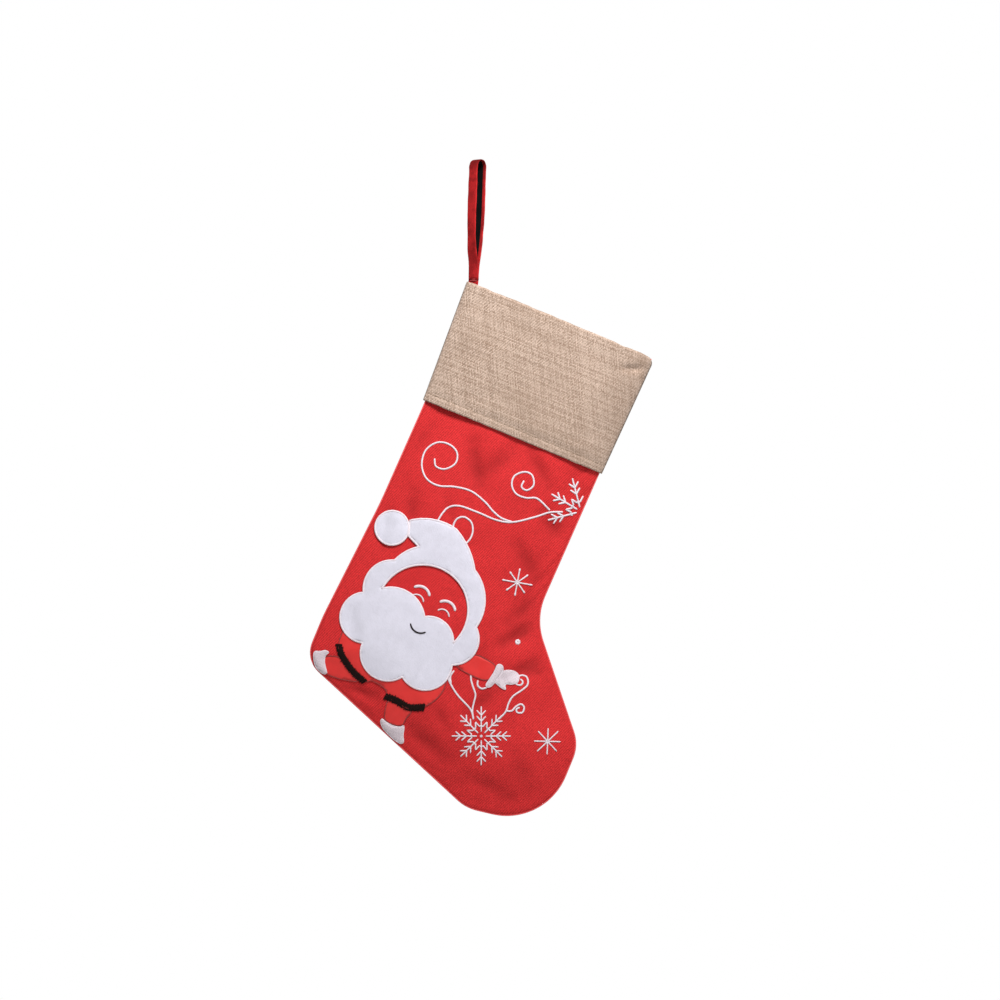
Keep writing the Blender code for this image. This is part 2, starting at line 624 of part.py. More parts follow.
def shrunk(outline, inset):
    """A closed outline moved inwards by inset."""
    area = sum(a.x * b.y - b.x * a.y for a, b in zip(outline, outline[1:] + outline[:1]))
    turn = 1 if area > 0 else -1
    moved = []
    for before, here, after in zip(outline[-1:] + outline[:-1], outline, outline[1:] + outline[:1]):
        into, away = (here - before).normalized(), (after - here).normalized()
        first, second = Vector((-into.y, into.x)), Vector((-away.y, away.x))
        both = (first + second).normalized()
        moved.append(here + both * turn * inset / max(0.6, both.dot(first)))
    return moved


def empty(name, place, parent=None, turn=0.0):
    made = bpy.data.objects.new(name, None)
    made.location = place
    made.rotation_euler = (0, turn, 0)
    made.parent = parent
    bpy.context.scene.collection.objects.link(made)
    return made


def main():
    clear_scene()
    red = material("red_twill", (0.58, 0.03, 0.03))
    coat = material("red_satin", (0.68, 0.03, 0.025), 0.6)
    lining = material("white_lining", (0.8, 0.78, 0.75))
    burlap = material("burlap", (0.55, 0.43, 0.32), 0.95)
    felt = material("white_felt", (0.78, 0.77, 0.85), 0.95)
    white_thread = material("white_thread", (0.85, 0.83, 0.85), 0.5)
    beige_thread = material("beige_thread", (0.6, 0.5, 0.4), 0.7)
    black = material("black_thread", (0.01, 0.008, 0.006), 0.6)

    hook = empty("hook", (0, 0, 0))
    bend = empty("bend", (LOOP_OFFSET * MM, 0, -LOOP_HANG * MM))
    seam = empty("seam", (0, 0, 0), bend, LEAN)
    build_loop(red, black, hook, bend, seam)
    build_body(red, lining, seam)
    build_cuff(burlap, beige_thread, seam)
    build_figure(felt, coat, black, seam)
    build_threads(white_thread, black, seam)


main()
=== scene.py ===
"""Dresses the hanging stocking: cloth panels, coarse cuff, hanging loop, felt and embroidery, and the stage.

Flat shapes are drawn in the stocking's own plane, in millimetres from the cuff's top back corner: across is
along the cuff's top edge towards the toe side, and up is up the leg. PLACE takes them to where it hangs."""

import json
import math

import bmesh
import bpy
import numpy as np
from mathutils import Matrix, Vector, noise
from mathutils.bvhtree import BVHTree


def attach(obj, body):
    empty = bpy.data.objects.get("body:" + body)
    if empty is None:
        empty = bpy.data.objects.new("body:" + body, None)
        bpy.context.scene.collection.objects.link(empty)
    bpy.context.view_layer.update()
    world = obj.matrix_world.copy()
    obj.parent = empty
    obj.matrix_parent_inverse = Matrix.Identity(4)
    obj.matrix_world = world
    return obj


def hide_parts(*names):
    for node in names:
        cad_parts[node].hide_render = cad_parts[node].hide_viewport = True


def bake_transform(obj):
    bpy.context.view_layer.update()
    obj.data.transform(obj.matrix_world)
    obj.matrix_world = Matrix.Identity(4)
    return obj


bl_info = {
    "name": "Hanging stocking",
    "version": (1, 0, 0),
    "blender": (4, 5, 0),
    "location": "3D View > Sidebar > Stocking",
    "description": "Makes the cloth, felt and embroidery of a hanging stocking around its fixed frame",
    "category": "Object",
}

MM = 0.001
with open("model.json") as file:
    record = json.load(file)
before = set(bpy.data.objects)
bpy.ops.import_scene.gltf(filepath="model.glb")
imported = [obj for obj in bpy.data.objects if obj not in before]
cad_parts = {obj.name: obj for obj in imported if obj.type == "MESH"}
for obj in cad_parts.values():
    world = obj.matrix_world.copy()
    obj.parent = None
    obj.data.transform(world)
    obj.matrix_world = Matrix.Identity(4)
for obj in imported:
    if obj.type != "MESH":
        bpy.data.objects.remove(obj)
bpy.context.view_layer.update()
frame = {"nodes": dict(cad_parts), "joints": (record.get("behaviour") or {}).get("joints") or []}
BEND = Vector(frame["joints"][0]["pos_m"])
LEAN = math.radians(22.5)
CORNER = Vector((-5.0, 0.0, -4.1))  # the cuff's top back corner, from the bend, in the stocking's plane
PLACE = (Matrix.Translation(BEND) @ Matrix.Rotation(LEAN, 4, "Y") @ Matrix.Scale(MM, 4)
         @ Matrix.Translation(CORNER))
IN_MM = Matrix.Scale(1 / MM, 4)  # small matrices are turned round in millimetres, where they don't vanish
FRONT, BACK = -1, 1

# The outline's main sizes, the same as the frame's
CUFF_WIDTH, CUFF_HEIGHT, CUFF_TAPER = 192.0, 119.0, 4.5
LEG_WIDTH, LEG_LENGTH, FOOT_LENGTH = 177.0, 389.5, 270.0
HEEL_BACK, CALF_STEP, CALF_END, HEEL_START = -4.5, 9.0, 225.0, 345.0
SOLE_DROP, SOLE_LENGTH, TOE_RISE = 0.368, 194.5, 0.16
INSTEP_DROP, INSTEP_TOP = 1.141, 270.0
HEEL_RADIUS, BALL_RADIUS, TOE_RADIUS, TOE_TOP_RADIUS, ANKLE_RADIUS = 25.0, 40.0, 60.0, 35.0, 60.0
LEG_DEPTH, CUFF_DEPTH, FULLNESS_RUN, LEG_INSET_IN_CUFF = 11.0, 13.5, 60.0, 2.6
LINING_INSET, LINING_DEPTH = 5.0, 9.7
LINING_FULLNESS, LINING_FULLER_IN_CUFF = 3.4, 1.1
LEAST_LEG_SHARE = 0.55  # of the leg's full depth that is left at the bottom of a fold
HEM_INSET = 7.5

# The head's middle and tilt in the stocking's plane
HEAD_AT, HEAD_TILT, FACE_RADIUS = (80.0, -303.0), math.radians(-7.5), 43.0
POMPOM_AT, POMPOM_RADIUS = (-63.5, 52.5), 16.0


# ---------------------------------------------------------------- settings


class StockingSizes(bpy.types.PropertyGroup):
    leg_cloth: bpy.props.FloatProperty(
        name="Leg cloth", description="Thickness of the leg's cloth", default=0.8 * MM, subtype="DISTANCE",
        unit="LENGTH")
    cuff_cloth: bpy.props.FloatProperty(
        name="Cuff cloth", description="Thickness of the cuff's coarse cloth", default=1.1 * MM,
        subtype="DISTANCE", unit="LENGTH")
    felt: bpy.props.FloatProperty(
        name="Felt", description="Thickness of the felt pieces", default=1.0 * MM, subtype="DISTANCE",
        unit="LENGTH")
    thread_width: bpy.props.FloatProperty(
        name="Thread line", description="Width of an embroidered line", default=1.75 * MM, subtype="DISTANCE",
        unit="LENGTH")
    weave_pitch: bpy.props.FloatProperty(
        name="Cuff weave", description="Distance between the cuff's threads", default=1.3 * MM,
        subtype="DISTANCE", unit="LENGTH")
    twill_pitch: bpy.props.FloatProperty(
        name="Twill", description="Distance between the ribs of the leg's twill", default=1.9 * MM,
        subtype="DISTANCE", unit="LENGTH")
    fold_depth: bpy.props.FloatProperty(
        name="Folds", description="Strength of the soft folds in the leg, as a share of their drawn depth",
        default=2.2, min=0.0, max=3.0, subtype="FACTOR")
    settle_frames: bpy.props.IntProperty(
        name="Settling", description="Frames for which the leg's cloth settles", default=16, min=1, max=40)


class StockingColours(bpy.types.PropertyGroup):
    red: bpy.props.FloatVectorProperty(
        name="Leg", description="The leg's red cloth", default=(0.62, 0.024, 0.026), subtype="COLOR",
        min=0.0, max=1.0)
    satin: bpy.props.FloatVectorProperty(
        name="Coat", description="The coat's smooth red cloth", default=(0.66, 0.024, 0.021), subtype="COLOR",
        min=0.0, max=1.0)
    burlap_light: bpy.props.FloatVectorProperty(
        name="Cuff, light threads", description="The lighter threads of the cuff",
        default=(0.51, 0.385, 0.31), subtype="COLOR", min=0.0, max=1.0)
    burlap_dark: bpy.props.FloatVectorProperty(
        name="Cuff, dark threads", description="The browner threads of the cuff",
        default=(0.235, 0.155, 0.108), subtype="COLOR", min=0.0, max=1.0)
    felt: bpy.props.FloatVectorProperty(
        name="Felt", description="The white felt", default=(0.60, 0.585, 0.665), subtype="COLOR", min=0.0,
        max=1.0)
    thread: bpy.props.FloatVectorProperty(
        name="White thread", description="The white embroidery thread", default=(0.78, 0.70, 0.75),
        subtype="COLOR", min=0.0, max=1.0)
    dark_thread: bpy.props.FloatVectorProperty(
        name="Black thread", description="The black embroidery thread", default=(0.012, 0.004, 0.003),
        subtype="COLOR", min=0.0, max=1.0)
    lining: bpy.props.FloatVectorProperty(
        name="Lining", description="The lining's pale cloth", default=(0.74, 0.71, 0.67), subtype="COLOR",
        min=0.0, max=1.0)


def sizes():
    return bpy.context.scene.stocking_sizes


def colours():
    return bpy.context.scene.stocking_colours


# ---------------------------------------------------------------- materials


class Wire:
    """A socket that carries a number. A sum on it adds the Math node that works it out."""

    def __init__(self, paint, socket):
        self.paint, self.socket = paint, socket

    def maths(self, operation, *terms):
        return self.paint.node("ShaderNodeMath", {"operation": operation}, dict(enumerate(terms)))

    def __add__(self, other):
        return self.maths("ADD", self, other)

    def __sub__(self, other):
        return self.maths("SUBTRACT", self, other)

    def __rsub__(self, other):
        return self.maths("SUBTRACT", other, self)

    def __mul__(self, other):
        return self.maths("MULTIPLY", self, other)

    def __abs__(self):
        return self.maths("ABSOLUTE", self)

    __radd__ = __add__
    __rmul__ = __mul__

    def sine(self):
        return self.maths("SINE", self)

    def over(self, other):
        return self.maths("MAXIMUM", self, other)

    def whole(self):
        return self.maths("FLOOR", self)

    def smooth(self, low, high):
        return self.paint.node("ShaderNodeMapRange", {"interpolation_type": "SMOOTHSTEP"},
                               {"Value": self, "From Min": low, "From Max": high})


class Paint:
    """A material for one finish, with its Principled shader's constants set on the shader."""

    def __init__(self, name, roughness=0.85, **constants):
        self.material = bpy.data.materials.new(name)
        self.material.use_nodes = True
        self.nodes = self.material.node_tree.nodes
        self.links = self.material.node_tree.links
        self.shader = self.nodes["Principled BSDF"]
        self.set("Roughness", roughness)
        for socket, value in constants.items():
            self.set(socket.replace("_", " "), value)

    def plug(self, socket, value):
        if isinstance(value, Wire):
            self.links.new(value.socket, socket)
        else:
            socket.default_value = value

    def set(self, socket, value):
        self.plug(self.shader.inputs[socket], value)

    def node(self, kind, settings=None, sockets=None, out=0):
        made = self.nodes.new(kind)
        for key, value in (settings or {}).items():
            setattr(made, key, value)
        for key, value in (sockets or {}).items():
            self.plug(made.inputs[key], value)
        return Wire(self, made.outputs[out])

    def place(self, turn=0.0, scale=(1, 1, 1)):
        """The object's own coordinates along axes turned about Y, each multiplied by its scale."""
        own = self.node("ShaderNodeTexCoord", out="Object")
        return self.node("ShaderNodeMapping", {"vector_type": "TEXTURE"}, {
            "Vector": own, "Rotation": (0, turn, 0), "Scale": tuple(1 / s for s in scale)})

    def parts(self, vector):
        return [self.node("ShaderNodeSeparateXYZ", None, {0: vector}, out=i) for i in range(3)]

    def attribute(self, name):
        return self.node("ShaderNodeAttribute", {"attribute_name": name}, out="Fac")

    def cloud(self, where, scale, detail=3.0, rough=0.55):
        return self.node("ShaderNodeTexNoise", None, {"Vector": where, "Scale": scale, "Detail": detail,
                                                      "Roughness": rough}, out="Fac")

    def blend(self, share, first, second, how="MIX"):
        made = self.nodes.new("ShaderNodeMix")
        made.data_type, made.blend_type = "RGBA", how
        for socket, value in ((made.inputs[0], share), (made.inputs[6], first), (made.inputs[7], second)):
            self.plug(socket, value)
        return Wire(self, made.outputs[2])

    def relief(self, height, depth, strength=1.0):
        """A bump of this depth, in metres, from a height of 0 to 1."""
        self.set("Normal", self.node("ShaderNodeBump", None, {"Strength": strength, "Distance": depth,
                                                              "Height": height}))


def rgb(colour, by=1.0):
    return (*(min(1.0, c * by) for c in colour), 1.0)


def twill(name, colour, pitch, sheen=0.16, contrast=0.4, roughness=0.82):
    """Cloth with fine diagonal ribs, soft mottling and a slightly fuzzy surface, and painted shade deep in
    its folds.
    """
    paint = Paint(name, roughness, Sheen_Weight=sheen, Sheen_Roughness=0.5, Specular_IOR_Level=0.2)
    paint.set("Sheen Tint", rgb(colour, 1.6))
    where = paint.place(LEAN)
    x, _, z = paint.parts(where)
    wobble = paint.cloud(where, 420.0, 2.0)
    turn = math.tau / pitch
    rib = (x * (turn * 0.924) - z * (turn * 0.383) + wobble * 3.2).sine() * 0.5 + 0.5
    cross = (x * (turn * 1.1) + z * (turn * 1.5) + wobble * 2.0).sine() * 0.5 + 0.5
    grain = rib * 0.65 + cross * 0.35
    blotch = paint.cloud(where, 34.0, 4.0)
    speck = paint.cloud(where, 650.0, 3.0, 0.7)
    shade = grain * 0.45 + speck * 0.75 - 0.1
    base = paint.blend(shade.smooth(0.2, 0.8), rgb(colour, 1 - contrast), rgb(colour, 1 + contrast * 0.6))
    base = paint.blend(blotch.smooth(0.3, 0.75) * 0.3, base, rgb(colour, 0.66))
    # Painted shade: the colour is darkened towards 0.42 of itself where the cloth lies deep in a fold.
    paint.set("Base Color", paint.blend(paint.attribute("fold_shade") * 0.6, base, rgb(colour, 0.42)))
    paint.set("Roughness", roughness - 0.1 + blotch * 0.2)
    paint.relief(grain * 0.8 + speck * 0.7, 0.00035, 0.9)
    return paint.material


def burlap(name, light, dark, pitch):
    """Coarse plain weave: warp and weft pass over and under each other, with uneven threads and slubs."""
    paint = Paint(name, 0.92, Sheen_Weight=0.15, Specular_IOR_Level=0.15)
    where = paint.place(LEAN)
    x, _, z = paint.parts(where)
    drift = paint.cloud(where, 55.0, 2.0)
    fray = paint.cloud(where, 700.0, 2.0)
    turn = math.pi / pitch
    across = x * turn + z * (turn * 0.5) + drift * 5.0 + fray * 0.7
    up = z * turn + drift * 4.0 + fray * 0.6
    sx, sz = across.sine(), up.sine()
    both = sx * sz
    warp = abs(sx) * 0.6 + both * 0.4
    weft = abs(sz) * 0.6 - both * 0.4
    height = warp.over(weft)
    on_top = (warp - weft).smooth(-0.15, 0.15)
    warp_tone = paint.node("ShaderNodeTexWhiteNoise", {"noise_dimensions": "1D"},
                           {"W": (across * (1 / math.pi)).whole()}, out="Value")
    weft_tone = paint.node("ShaderNodeTexWhiteNoise", {"noise_dimensions": "1D"},
                           {"W": (up * (1 / math.pi)).whole() + 500.0}, out="Value")
    slub_across = paint.cloud(paint.place(LEAN, (70.0, 1.0, 620.0)), 1.0, 2.0)
    slub_up = paint.cloud(paint.place(LEAN, (620.0, 1.0, 70.0)), 1.0, 2.0)
    sand = paint.cloud(where, 620.0, 3.0, 0.75)
    tone = (on_top * (warp_tone * 0.25 + slub_up * 0.35)
            + (1.0 - on_top) * (weft_tone * 0.25 + slub_across * 0.35) + sand * 0.75 - 0.1)
    threads = paint.blend(tone.smooth(0.3, 0.75), rgb(dark, 1.4), rgb(light, 1.35))
    base = paint.blend((height * 0.7 + sand * 0.5).smooth(0.22, 0.68), rgb(dark, 0.6), threads)
    wear = paint.cloud(where, 16.0, 3.0)
    base = paint.blend(wear.smooth(0.35, 0.75) * 0.3, base, rgb(dark, 1.3))
    paint.set("Base Color", base)
    paint.relief(height + sand * 0.8, 0.0007, 0.95)
    return paint.material


def felted(name, colour):
    """Pressed felt: a soft mat of fibres, slightly mottled."""
    paint = Paint(name, 0.95, Sheen_Weight=0.35, Sheen_Roughness=0.6, Specular_IOR_Level=0.1)
    where = paint.place(LEAN)
    fibre = paint.cloud(where, 1900.0, 4.0, 0.7)
    hair = paint.cloud(paint.place(LEAN + 0.7, (300.0, 300.0, 1500.0)), 1.0, 3.0)
    mottle = paint.cloud(where, 140.0, 4.0)
    shade = fibre * 0.5 + hair * 0.3 + mottle * 0.3
    paint.set("Base Color", paint.blend(shade.smooth(0.32, 0.68), rgb(colour, 0.9), rgb(colour, 1.07)))
    paint.relief(fibre * 0.7 + hair * 0.4, 0.0004, 0.7)
    return paint.material


def embroidered(name, colour, stitch=0.55, roughness=0.42, fleck=0.12, gloss=0.55, sheen=0.2):
    """Satin stitch: shiny threads that lie side by side across the line, slightly slanted."""
    paint = Paint(name, roughness, Sheen_Weight=sheen, Specular_IOR_Level=gloss)
    along, across = paint.attribute("along"), paint.attribute("across")
    turn = math.pi / (stitch * MM)
    uneven = paint.cloud(paint.place(LEAN), 1500.0, 2.0)
    wave = abs((along * turn + across * (turn * 0.5) + uneven * 1.2).sine())
    tone = wave * (1 - fleck) + uneven * fleck
    paint.set("Base Color", paint.blend(tone.smooth(0.05, 0.75), rgb(colour, 0.66), rgb(colour, 1.04)))
    paint.set("Roughness", roughness + 0.2 - wave * 0.2)
    paint.relief(wave + uneven * 0.2, 0.00018, 0.9)
    return paint.material


def filled_stitch(name, colour, turned, stitch=1.0):
    """An area filled with rows of long stitches, turned to lie along the piece."""
    paint = Paint(name, 0.5, Sheen_Weight=0.2, Specular_IOR_Level=0.5)
    where = paint.place(LEAN + turned)
    x, _, z = paint.parts(where)
    uneven = paint.cloud(where, 1100.0, 3.0)
    turn = math.pi / (stitch * MM)
    rows = abs((x * turn + uneven * 1.6).sine())
    ends = abs((z * (turn * 0.16) + (x * (1 / (stitch * MM))).whole() * 1.9).sine())
    height = rows * (0.55 + 0.45 * ends)
    between_rows = (colour[0] * 0.5, colour[1] * 0.32, colour[2] * 0.36, 1.0)
    paint.set("Base Color", paint.blend(height.smooth(0.0, 0.6), between_rows, rgb(colour, 1.02)))
    paint.relief(height + uneven * 0.3, 0.0003, 0.8)
    return paint.material


def satin(name, colour):
    """Smooth close cloth with a soft gloss and faint cross threads."""
    paint = Paint(name, 0.5, Sheen_Weight=0.3, Sheen_Roughness=0.35, Specular_IOR_Level=0.4)
    where = paint.place(LEAN)
    x, _, z = paint.parts(where)
    threads = (z * (math.tau / 0.0009)).sine() * 0.5 + (x * (math.tau / 0.0011)).sine() * 0.3 + 0.5
    soft = paint.cloud(where, 90.0, 3.0)
    paint.set("Base Color", paint.blend((threads * 0.4 + soft * 0.6).smooth(0.1, 0.9), rgb(colour, 0.86),
                                        rgb(colour, 1.1)))
    paint.set("Roughness", 0.42 + soft * 0.2)
    paint.relief(threads * 0.5 + soft, 0.00012, 0.7)
    return paint.material


# ---------------------------------------------------------------- outlines, in millimetres


def rounded(corners):
    """The open line through corners of (across, up, radius), each corner an arc of its radius."""
    line = [Vector(corners[0][:2])]
    for before, here, after in zip(corners, corners[1:], corners[2:]):
        point = Vector(here[:2])
        back, on = (Vector(before[:2]) - point).normalized(), (Vector(after[:2]) - point).normalized()
        turn = math.pi - back.angle(on)
        if here[2] * math.tan(turn / 2) < 0.01:
            line.append(point)
            continue
        middle = point + (back + on).normalized() * (here[2] / math.cos(turn / 2))
        start = point + back * here[2] * math.tan(turn / 2) - middle
        sign = 1 if start.x * (point.y - middle.y) - start.y * (point.x - middle.x) > 0 else -1
        steps = max(2, math.ceil(turn / math.radians(5)))
        line += [middle + Matrix.Rotation(sign * turn * i / steps, 2) @ start for i in range(steps + 1)]
    return line + [Vector(corners[-1][:2])]


def bowed(points, step=math.radians(6)):
    """The closed outline through points of (across, up, bow): the side after a point stands out by bow."""
    outline = []
    for here, after in zip(points, points[1:] + points[:1]):
        start, end, bow = Vector(here[:2]), Vector(after[:2]), here[2]
        outline.append(start)
        if bow:
            half = (end - start).length / 2
            quarter = math.atan2(bow, half)
            left = Vector((start.y - end.y, end.x - start.x)).normalized()
            middle = (start + end) / 2 + left * (bow - half / math.sin(2 * quarter))
            steps = max(3, math.ceil(abs(4 * quarter) / step))
            outline += [middle + Matrix.Rotation(-4 * quarter * i / steps, 2) @ (start - middle)
                        for i in range(1, steps)]
    return outline


def eased(points, passes=2, share=0.24):
    """The closed outline with its corners cut back a little, again and again."""
    for _ in range(passes):
        ends = [(Vector(a), Vector(b)) for a, b in zip(points, points[1:] + points[:1])]
        points = [q for a, b in ends for q in (a.lerp(b, share), b.lerp(a, share))]
    return points


def arch(start, end, bow):
    """The open arc from start to end, on the head, that stands out to its left by bow."""
    return bowed(on_head([(*start, bow), (*end, 0)]))


def curve_through(points, steps=8):
    """A smooth line through the points."""
    p = [Vector(q) for q in points]
    p = [p[0] * 2 - p[1]] + p + [p[-1] * 2 - p[-2]]
    line = []
    for a, b, c, d in zip(p, p[1:], p[2:], p[3:]):
        line += [0.5 * (2 * b + (c - a) * t + (2 * a - 5 * b + 4 * c - d) * t * t
                        + (3 * b - a - 3 * c + d) * t ** 3) for t in (i / steps for i in range(steps))]
    return line + [p[-2]]


def evenly(line, pitch):
    """The line's points, moved along it to lie about pitch apart."""
    points = np.array([p[:2] for p in line], float)
    run = np.concatenate([[0], np.cumsum(np.linalg.norm(np.diff(points, axis=0), axis=1))])
    places = np.linspace(0, run[-1], max(3, round(run[-1] / pitch) + 1))
    return [Vector(p) for p in np.stack([np.interp(places, run, points[:, k]) for k in (0, 1)], axis=1)]


def ring_of(middle, radius, steps=48):
    return [Vector(middle) + Vector((math.cos(a), math.sin(a))) * radius
            for a in (math.tau * i / steps for i in range(steps))]


def on_head(points):
    """Points of (across, up, ...) from the head's middle, taken into the stocking's plane."""
    c, s = math.cos(HEAD_TILT), math.sin(HEAD_TILT)
    return [(HEAD_AT[0] + p[0] * c - p[1] * s, HEAD_AT[1] + p[0] * s + p[1] * c, *p[2:]) for p in points]


def cuff_edge(toe_side):
    return [(CUFF_WIDTH, 0.0), (CUFF_WIDTH - CUFF_TAPER, -CUFF_HEIGHT)] if toe_side else [
        (0.0, 0.0), (CUFF_TAPER, -CUFF_HEIGHT)]


def side_corners(inset=0.0):
    """The stocking's side line from the mouth's back end down, round the foot and up to its front end."""
    heel, toe = HEEL_BACK + inset, HEEL_BACK + FOOT_LENGTH - inset
    front, ball = HEEL_BACK + CALF_STEP + LEG_WIDTH - inset, HEEL_BACK + SOLE_LENGTH
    heel_z = -LEG_LENGTH + inset * math.hypot(1, SOLE_DROP)
    ball_z = heel_z - SOLE_DROP * (ball - heel)
    instep_z = -INSTEP_TOP - inset * (math.hypot(1, INSTEP_DROP) - INSTEP_DROP)
    within = LEG_INSET_IN_CUFF + inset
    return [
        (within, -1.0, 0.0), (CUFF_TAPER + within, -CUFF_HEIGHT - 3.0, 200.0),
        (heel + CALF_STEP, -CALF_END, 400.0), (heel, -HEEL_START, 200.0), (heel, heel_z, HEEL_RADIUS - inset),
        (ball, ball_z, BALL_RADIUS), (toe, ball_z + TOE_RISE * (toe - ball), TOE_RADIUS - inset),
        (toe, instep_z - INSTEP_DROP * (toe - front), TOE_TOP_RADIUS - inset),
        (front, instep_z, ANKLE_RADIUS + inset),
        (CUFF_WIDTH - CUFF_TAPER - within, -CUFF_HEIGHT - 3.0, 200.0),
        (CUFF_WIDTH - within, -1.0, 0.0)]


def distances(points, line):
    """How far each point is from the open line."""
    points, line = np.asarray(points, float), np.array([p[:2] for p in line], float)
    nearest = np.full(len(points), 1e9)
    for a, b in zip(line, line[1:]):
        side = b - a
        t = np.clip((points - a) @ side / max(side @ side, 1e-12), 0, 1)
        nearest = np.minimum(nearest, np.linalg.norm(points - a - t[:, None] * side, axis=1))
    return nearest


def crown(far, depth, sharpness=1.0):
    """How far cloth stands off the middle plane at this distance from its side seam."""
    return depth * np.sin(math.pi / 2 * np.minimum(1.0, far / FULLNESS_RUN) ** sharpness)


# ---------------------------------------------------------------- pieces


def add_piece(name, shape, paint, body="stocking", stands_for=(), slot=None):
    """The mesh as a finished piece that rides on its body, if it has one."""
    mesh = bpy.data.meshes.new(name)
    shape.to_mesh(mesh)
    shape.free()
    mesh.materials.append(paint)
    mesh.shade_smooth()
    made = bpy.data.objects.new(name, mesh)
    bpy.context.scene.collection.objects.link(made)
    if body:
        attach(made, body)
    if stands_for:
        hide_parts(*stands_for)
    return made


def patch(line, columns, rows, turns):
    """Points of a grid that fills the stocking's side line. turns pairs the shares of the back and front
    edges that one row joins. The last row lies along the toe."""
    points = np.array([p[:2] for p in line], float)
    corners = np.array([side_corners()[5][:2], side_corners()[7][:2]])
    ball, toe_top = (int(np.argmin(np.linalg.norm(points - c, axis=1))) for c in corners)

    def shares(part, at):
        run = np.concatenate([[0], np.cumsum(np.linalg.norm(np.diff(part, axis=0), axis=1))])
        return np.stack([np.interp(at * run[-1], run, part[:, k]) for k in (0, 1)], axis=-1)

    t, s = np.linspace(0, 1, rows), np.linspace(0, 1, columns)
    knots = np.array(turns)
    back = shares(points[:ball + 1], np.interp(t, knots[:, 0], knots[:, 1]))[:, None]
    front = shares(points[toe_top:][::-1], np.interp(t, knots[:, 0], knots[:, 2]))[:, None]
    top = shares(np.array([points[0], points[-1]]), s)[None]
    toe = shares(points[ball:toe_top + 1], s)[None]
    s, t = s[None, :, None], t[:, None, None]
    flat = ((1 - s) * back + s * front + (1 - t) * top + t * toe - (1 - s) * (1 - t) * points[0]
            - s * (1 - t) * points[-1] - (1 - s) * t * points[ball] - s * t * points[toe_top])
    return flat


def grid_piece(flat, heights, side, folds=None):
    """A bmesh grid whose corners are laid at flat (across, up) and stand off by heights, all in millimetres.
    Its vertices carry how deep they lie in a fold, from 0 to 1, which the leg's cloth turns into painted
    shade."""
    rows, columns = heights.shape
    shape = bmesh.new()
    depth = shape.verts.layers.float.new("fold_shade")
    bmesh.ops.create_grid(shape, x_segments=columns - 1, y_segments=rows - 1, size=1.0)
    shape.verts.ensure_lookup_table()
    order = sorted(shape.verts, key=lambda v: (round(-v.co.y * (rows - 1)), round(v.co.x * (columns - 1))))
    folds = np.zeros(heights.size) if folds is None else folds
    for vert, (u, w), y, fold_shade in zip(order, flat.reshape(-1, 2), heights.reshape(-1), folds):
        vert.co = PLACE @ Vector((u, side * y, w))
        vert[depth] = fold_shade
    bmesh.ops.recalc_face_normals(shape, faces=shape.faces)
    out = sum((f.normal for f in shape.faces), Vector())
    if out.y * side < 0:
        bmesh.ops.reverse_faces(shape, faces=shape.faces)
    return shape


def flat_area(flat):
    """The area of a grid of flat points, in square metres."""
    a = flat[1:, 1:] - flat[:-1, :-1]
    b = flat[1:, :-1] - flat[:-1, 1:]
    return float(np.abs(a[..., 0] * b[..., 1] - a[..., 1] * b[..., 0]).sum() / 2) * MM * MM


def soft_noise(points, size, seed):
    return np.array([noise.noise(Vector((p[0] / size, p[1] / size, seed))) for p in points])


def dent(points, start, end, width):
    """1 on the line from start to end, fading out over width to its sides and beyond its ends."""
    a, b = np.array(start, float), np.array(end, float)
    side = b - a
    t = np.clip((points - a) @ side / (side @ side), 0, 1)
    far = np.linalg.norm(points - a - t[:, None] * side, axis=1)
    return np.exp(-(far / width) ** 2) * (0.35 + 0.65 * np.sin(math.pi * np.clip(t, 0.1, 0.9)))


# Soft folds of the front, as (start, end, half width, depth) in millimetres, and the fewer ones of the back
FRONT_FOLDS = [
    ((64, -140), (84, -176), 8, 1.3), ((100, -133), (84, -165), 9, 1.1),
    ((118, -128), (146, -150), 7, 1.2), ((20, -140), (12, -172), 6, 0.9),
    ((30, -205), (36, -232), 7, 1.0), ((10, -222), (22, -262), 6, 1.0), ((60, -196), (74, -216), 6, 0.7),
    ((150, -178), (176, -190), 8, 1.2), ((140, -214), (168, -236), 9, 1.3),
    ((178, -250), (160, -282), 8, 1.3), ((186, -272), (162, -304), 7, 1.8),
    ((206, -302), (176, -334), 7, 1.6), ((198, -322), (214, -310), 5, 0.9),
    ((172, -348), (158, -378), 7, 1.3), ((146, -318), (152, -344), 6, 0.8),
    ((20, -330), (30, -356), 7, 0.9), ((112, -412), (150, -424), 9, 1.1),
    ((30, -404), (70, -396), 6, 1.1), ((214, -398), (236, -420), 10, 0.8),
    ((180, -432), (222, -436), 8, 0.8), ((128, -384), (142, -398), 6, 0.8),
]
BACK_FOLDS = [
    ((60, -150), (84, -190), 9, 1.3), ((120, -140), (112, -190), 10, 1.0),
    ((40, -240), (70, -290), 9, 1.2), ((150, -230), (172, -262), 9, 1.4),
    ((186, -276), (150, -310), 8, 1.6), ((200, -310), (168, -344), 8, 1.4),
    ((40, -350), (90, -372), 9, 1.2), ((140, -392), (190, -410), 10, 1.0),
    ((220, -380), (240, -420), 9, 0.9),
]


SETTLE_CAP, SETTLE_SHARE = 0.8 * MM, 0.2


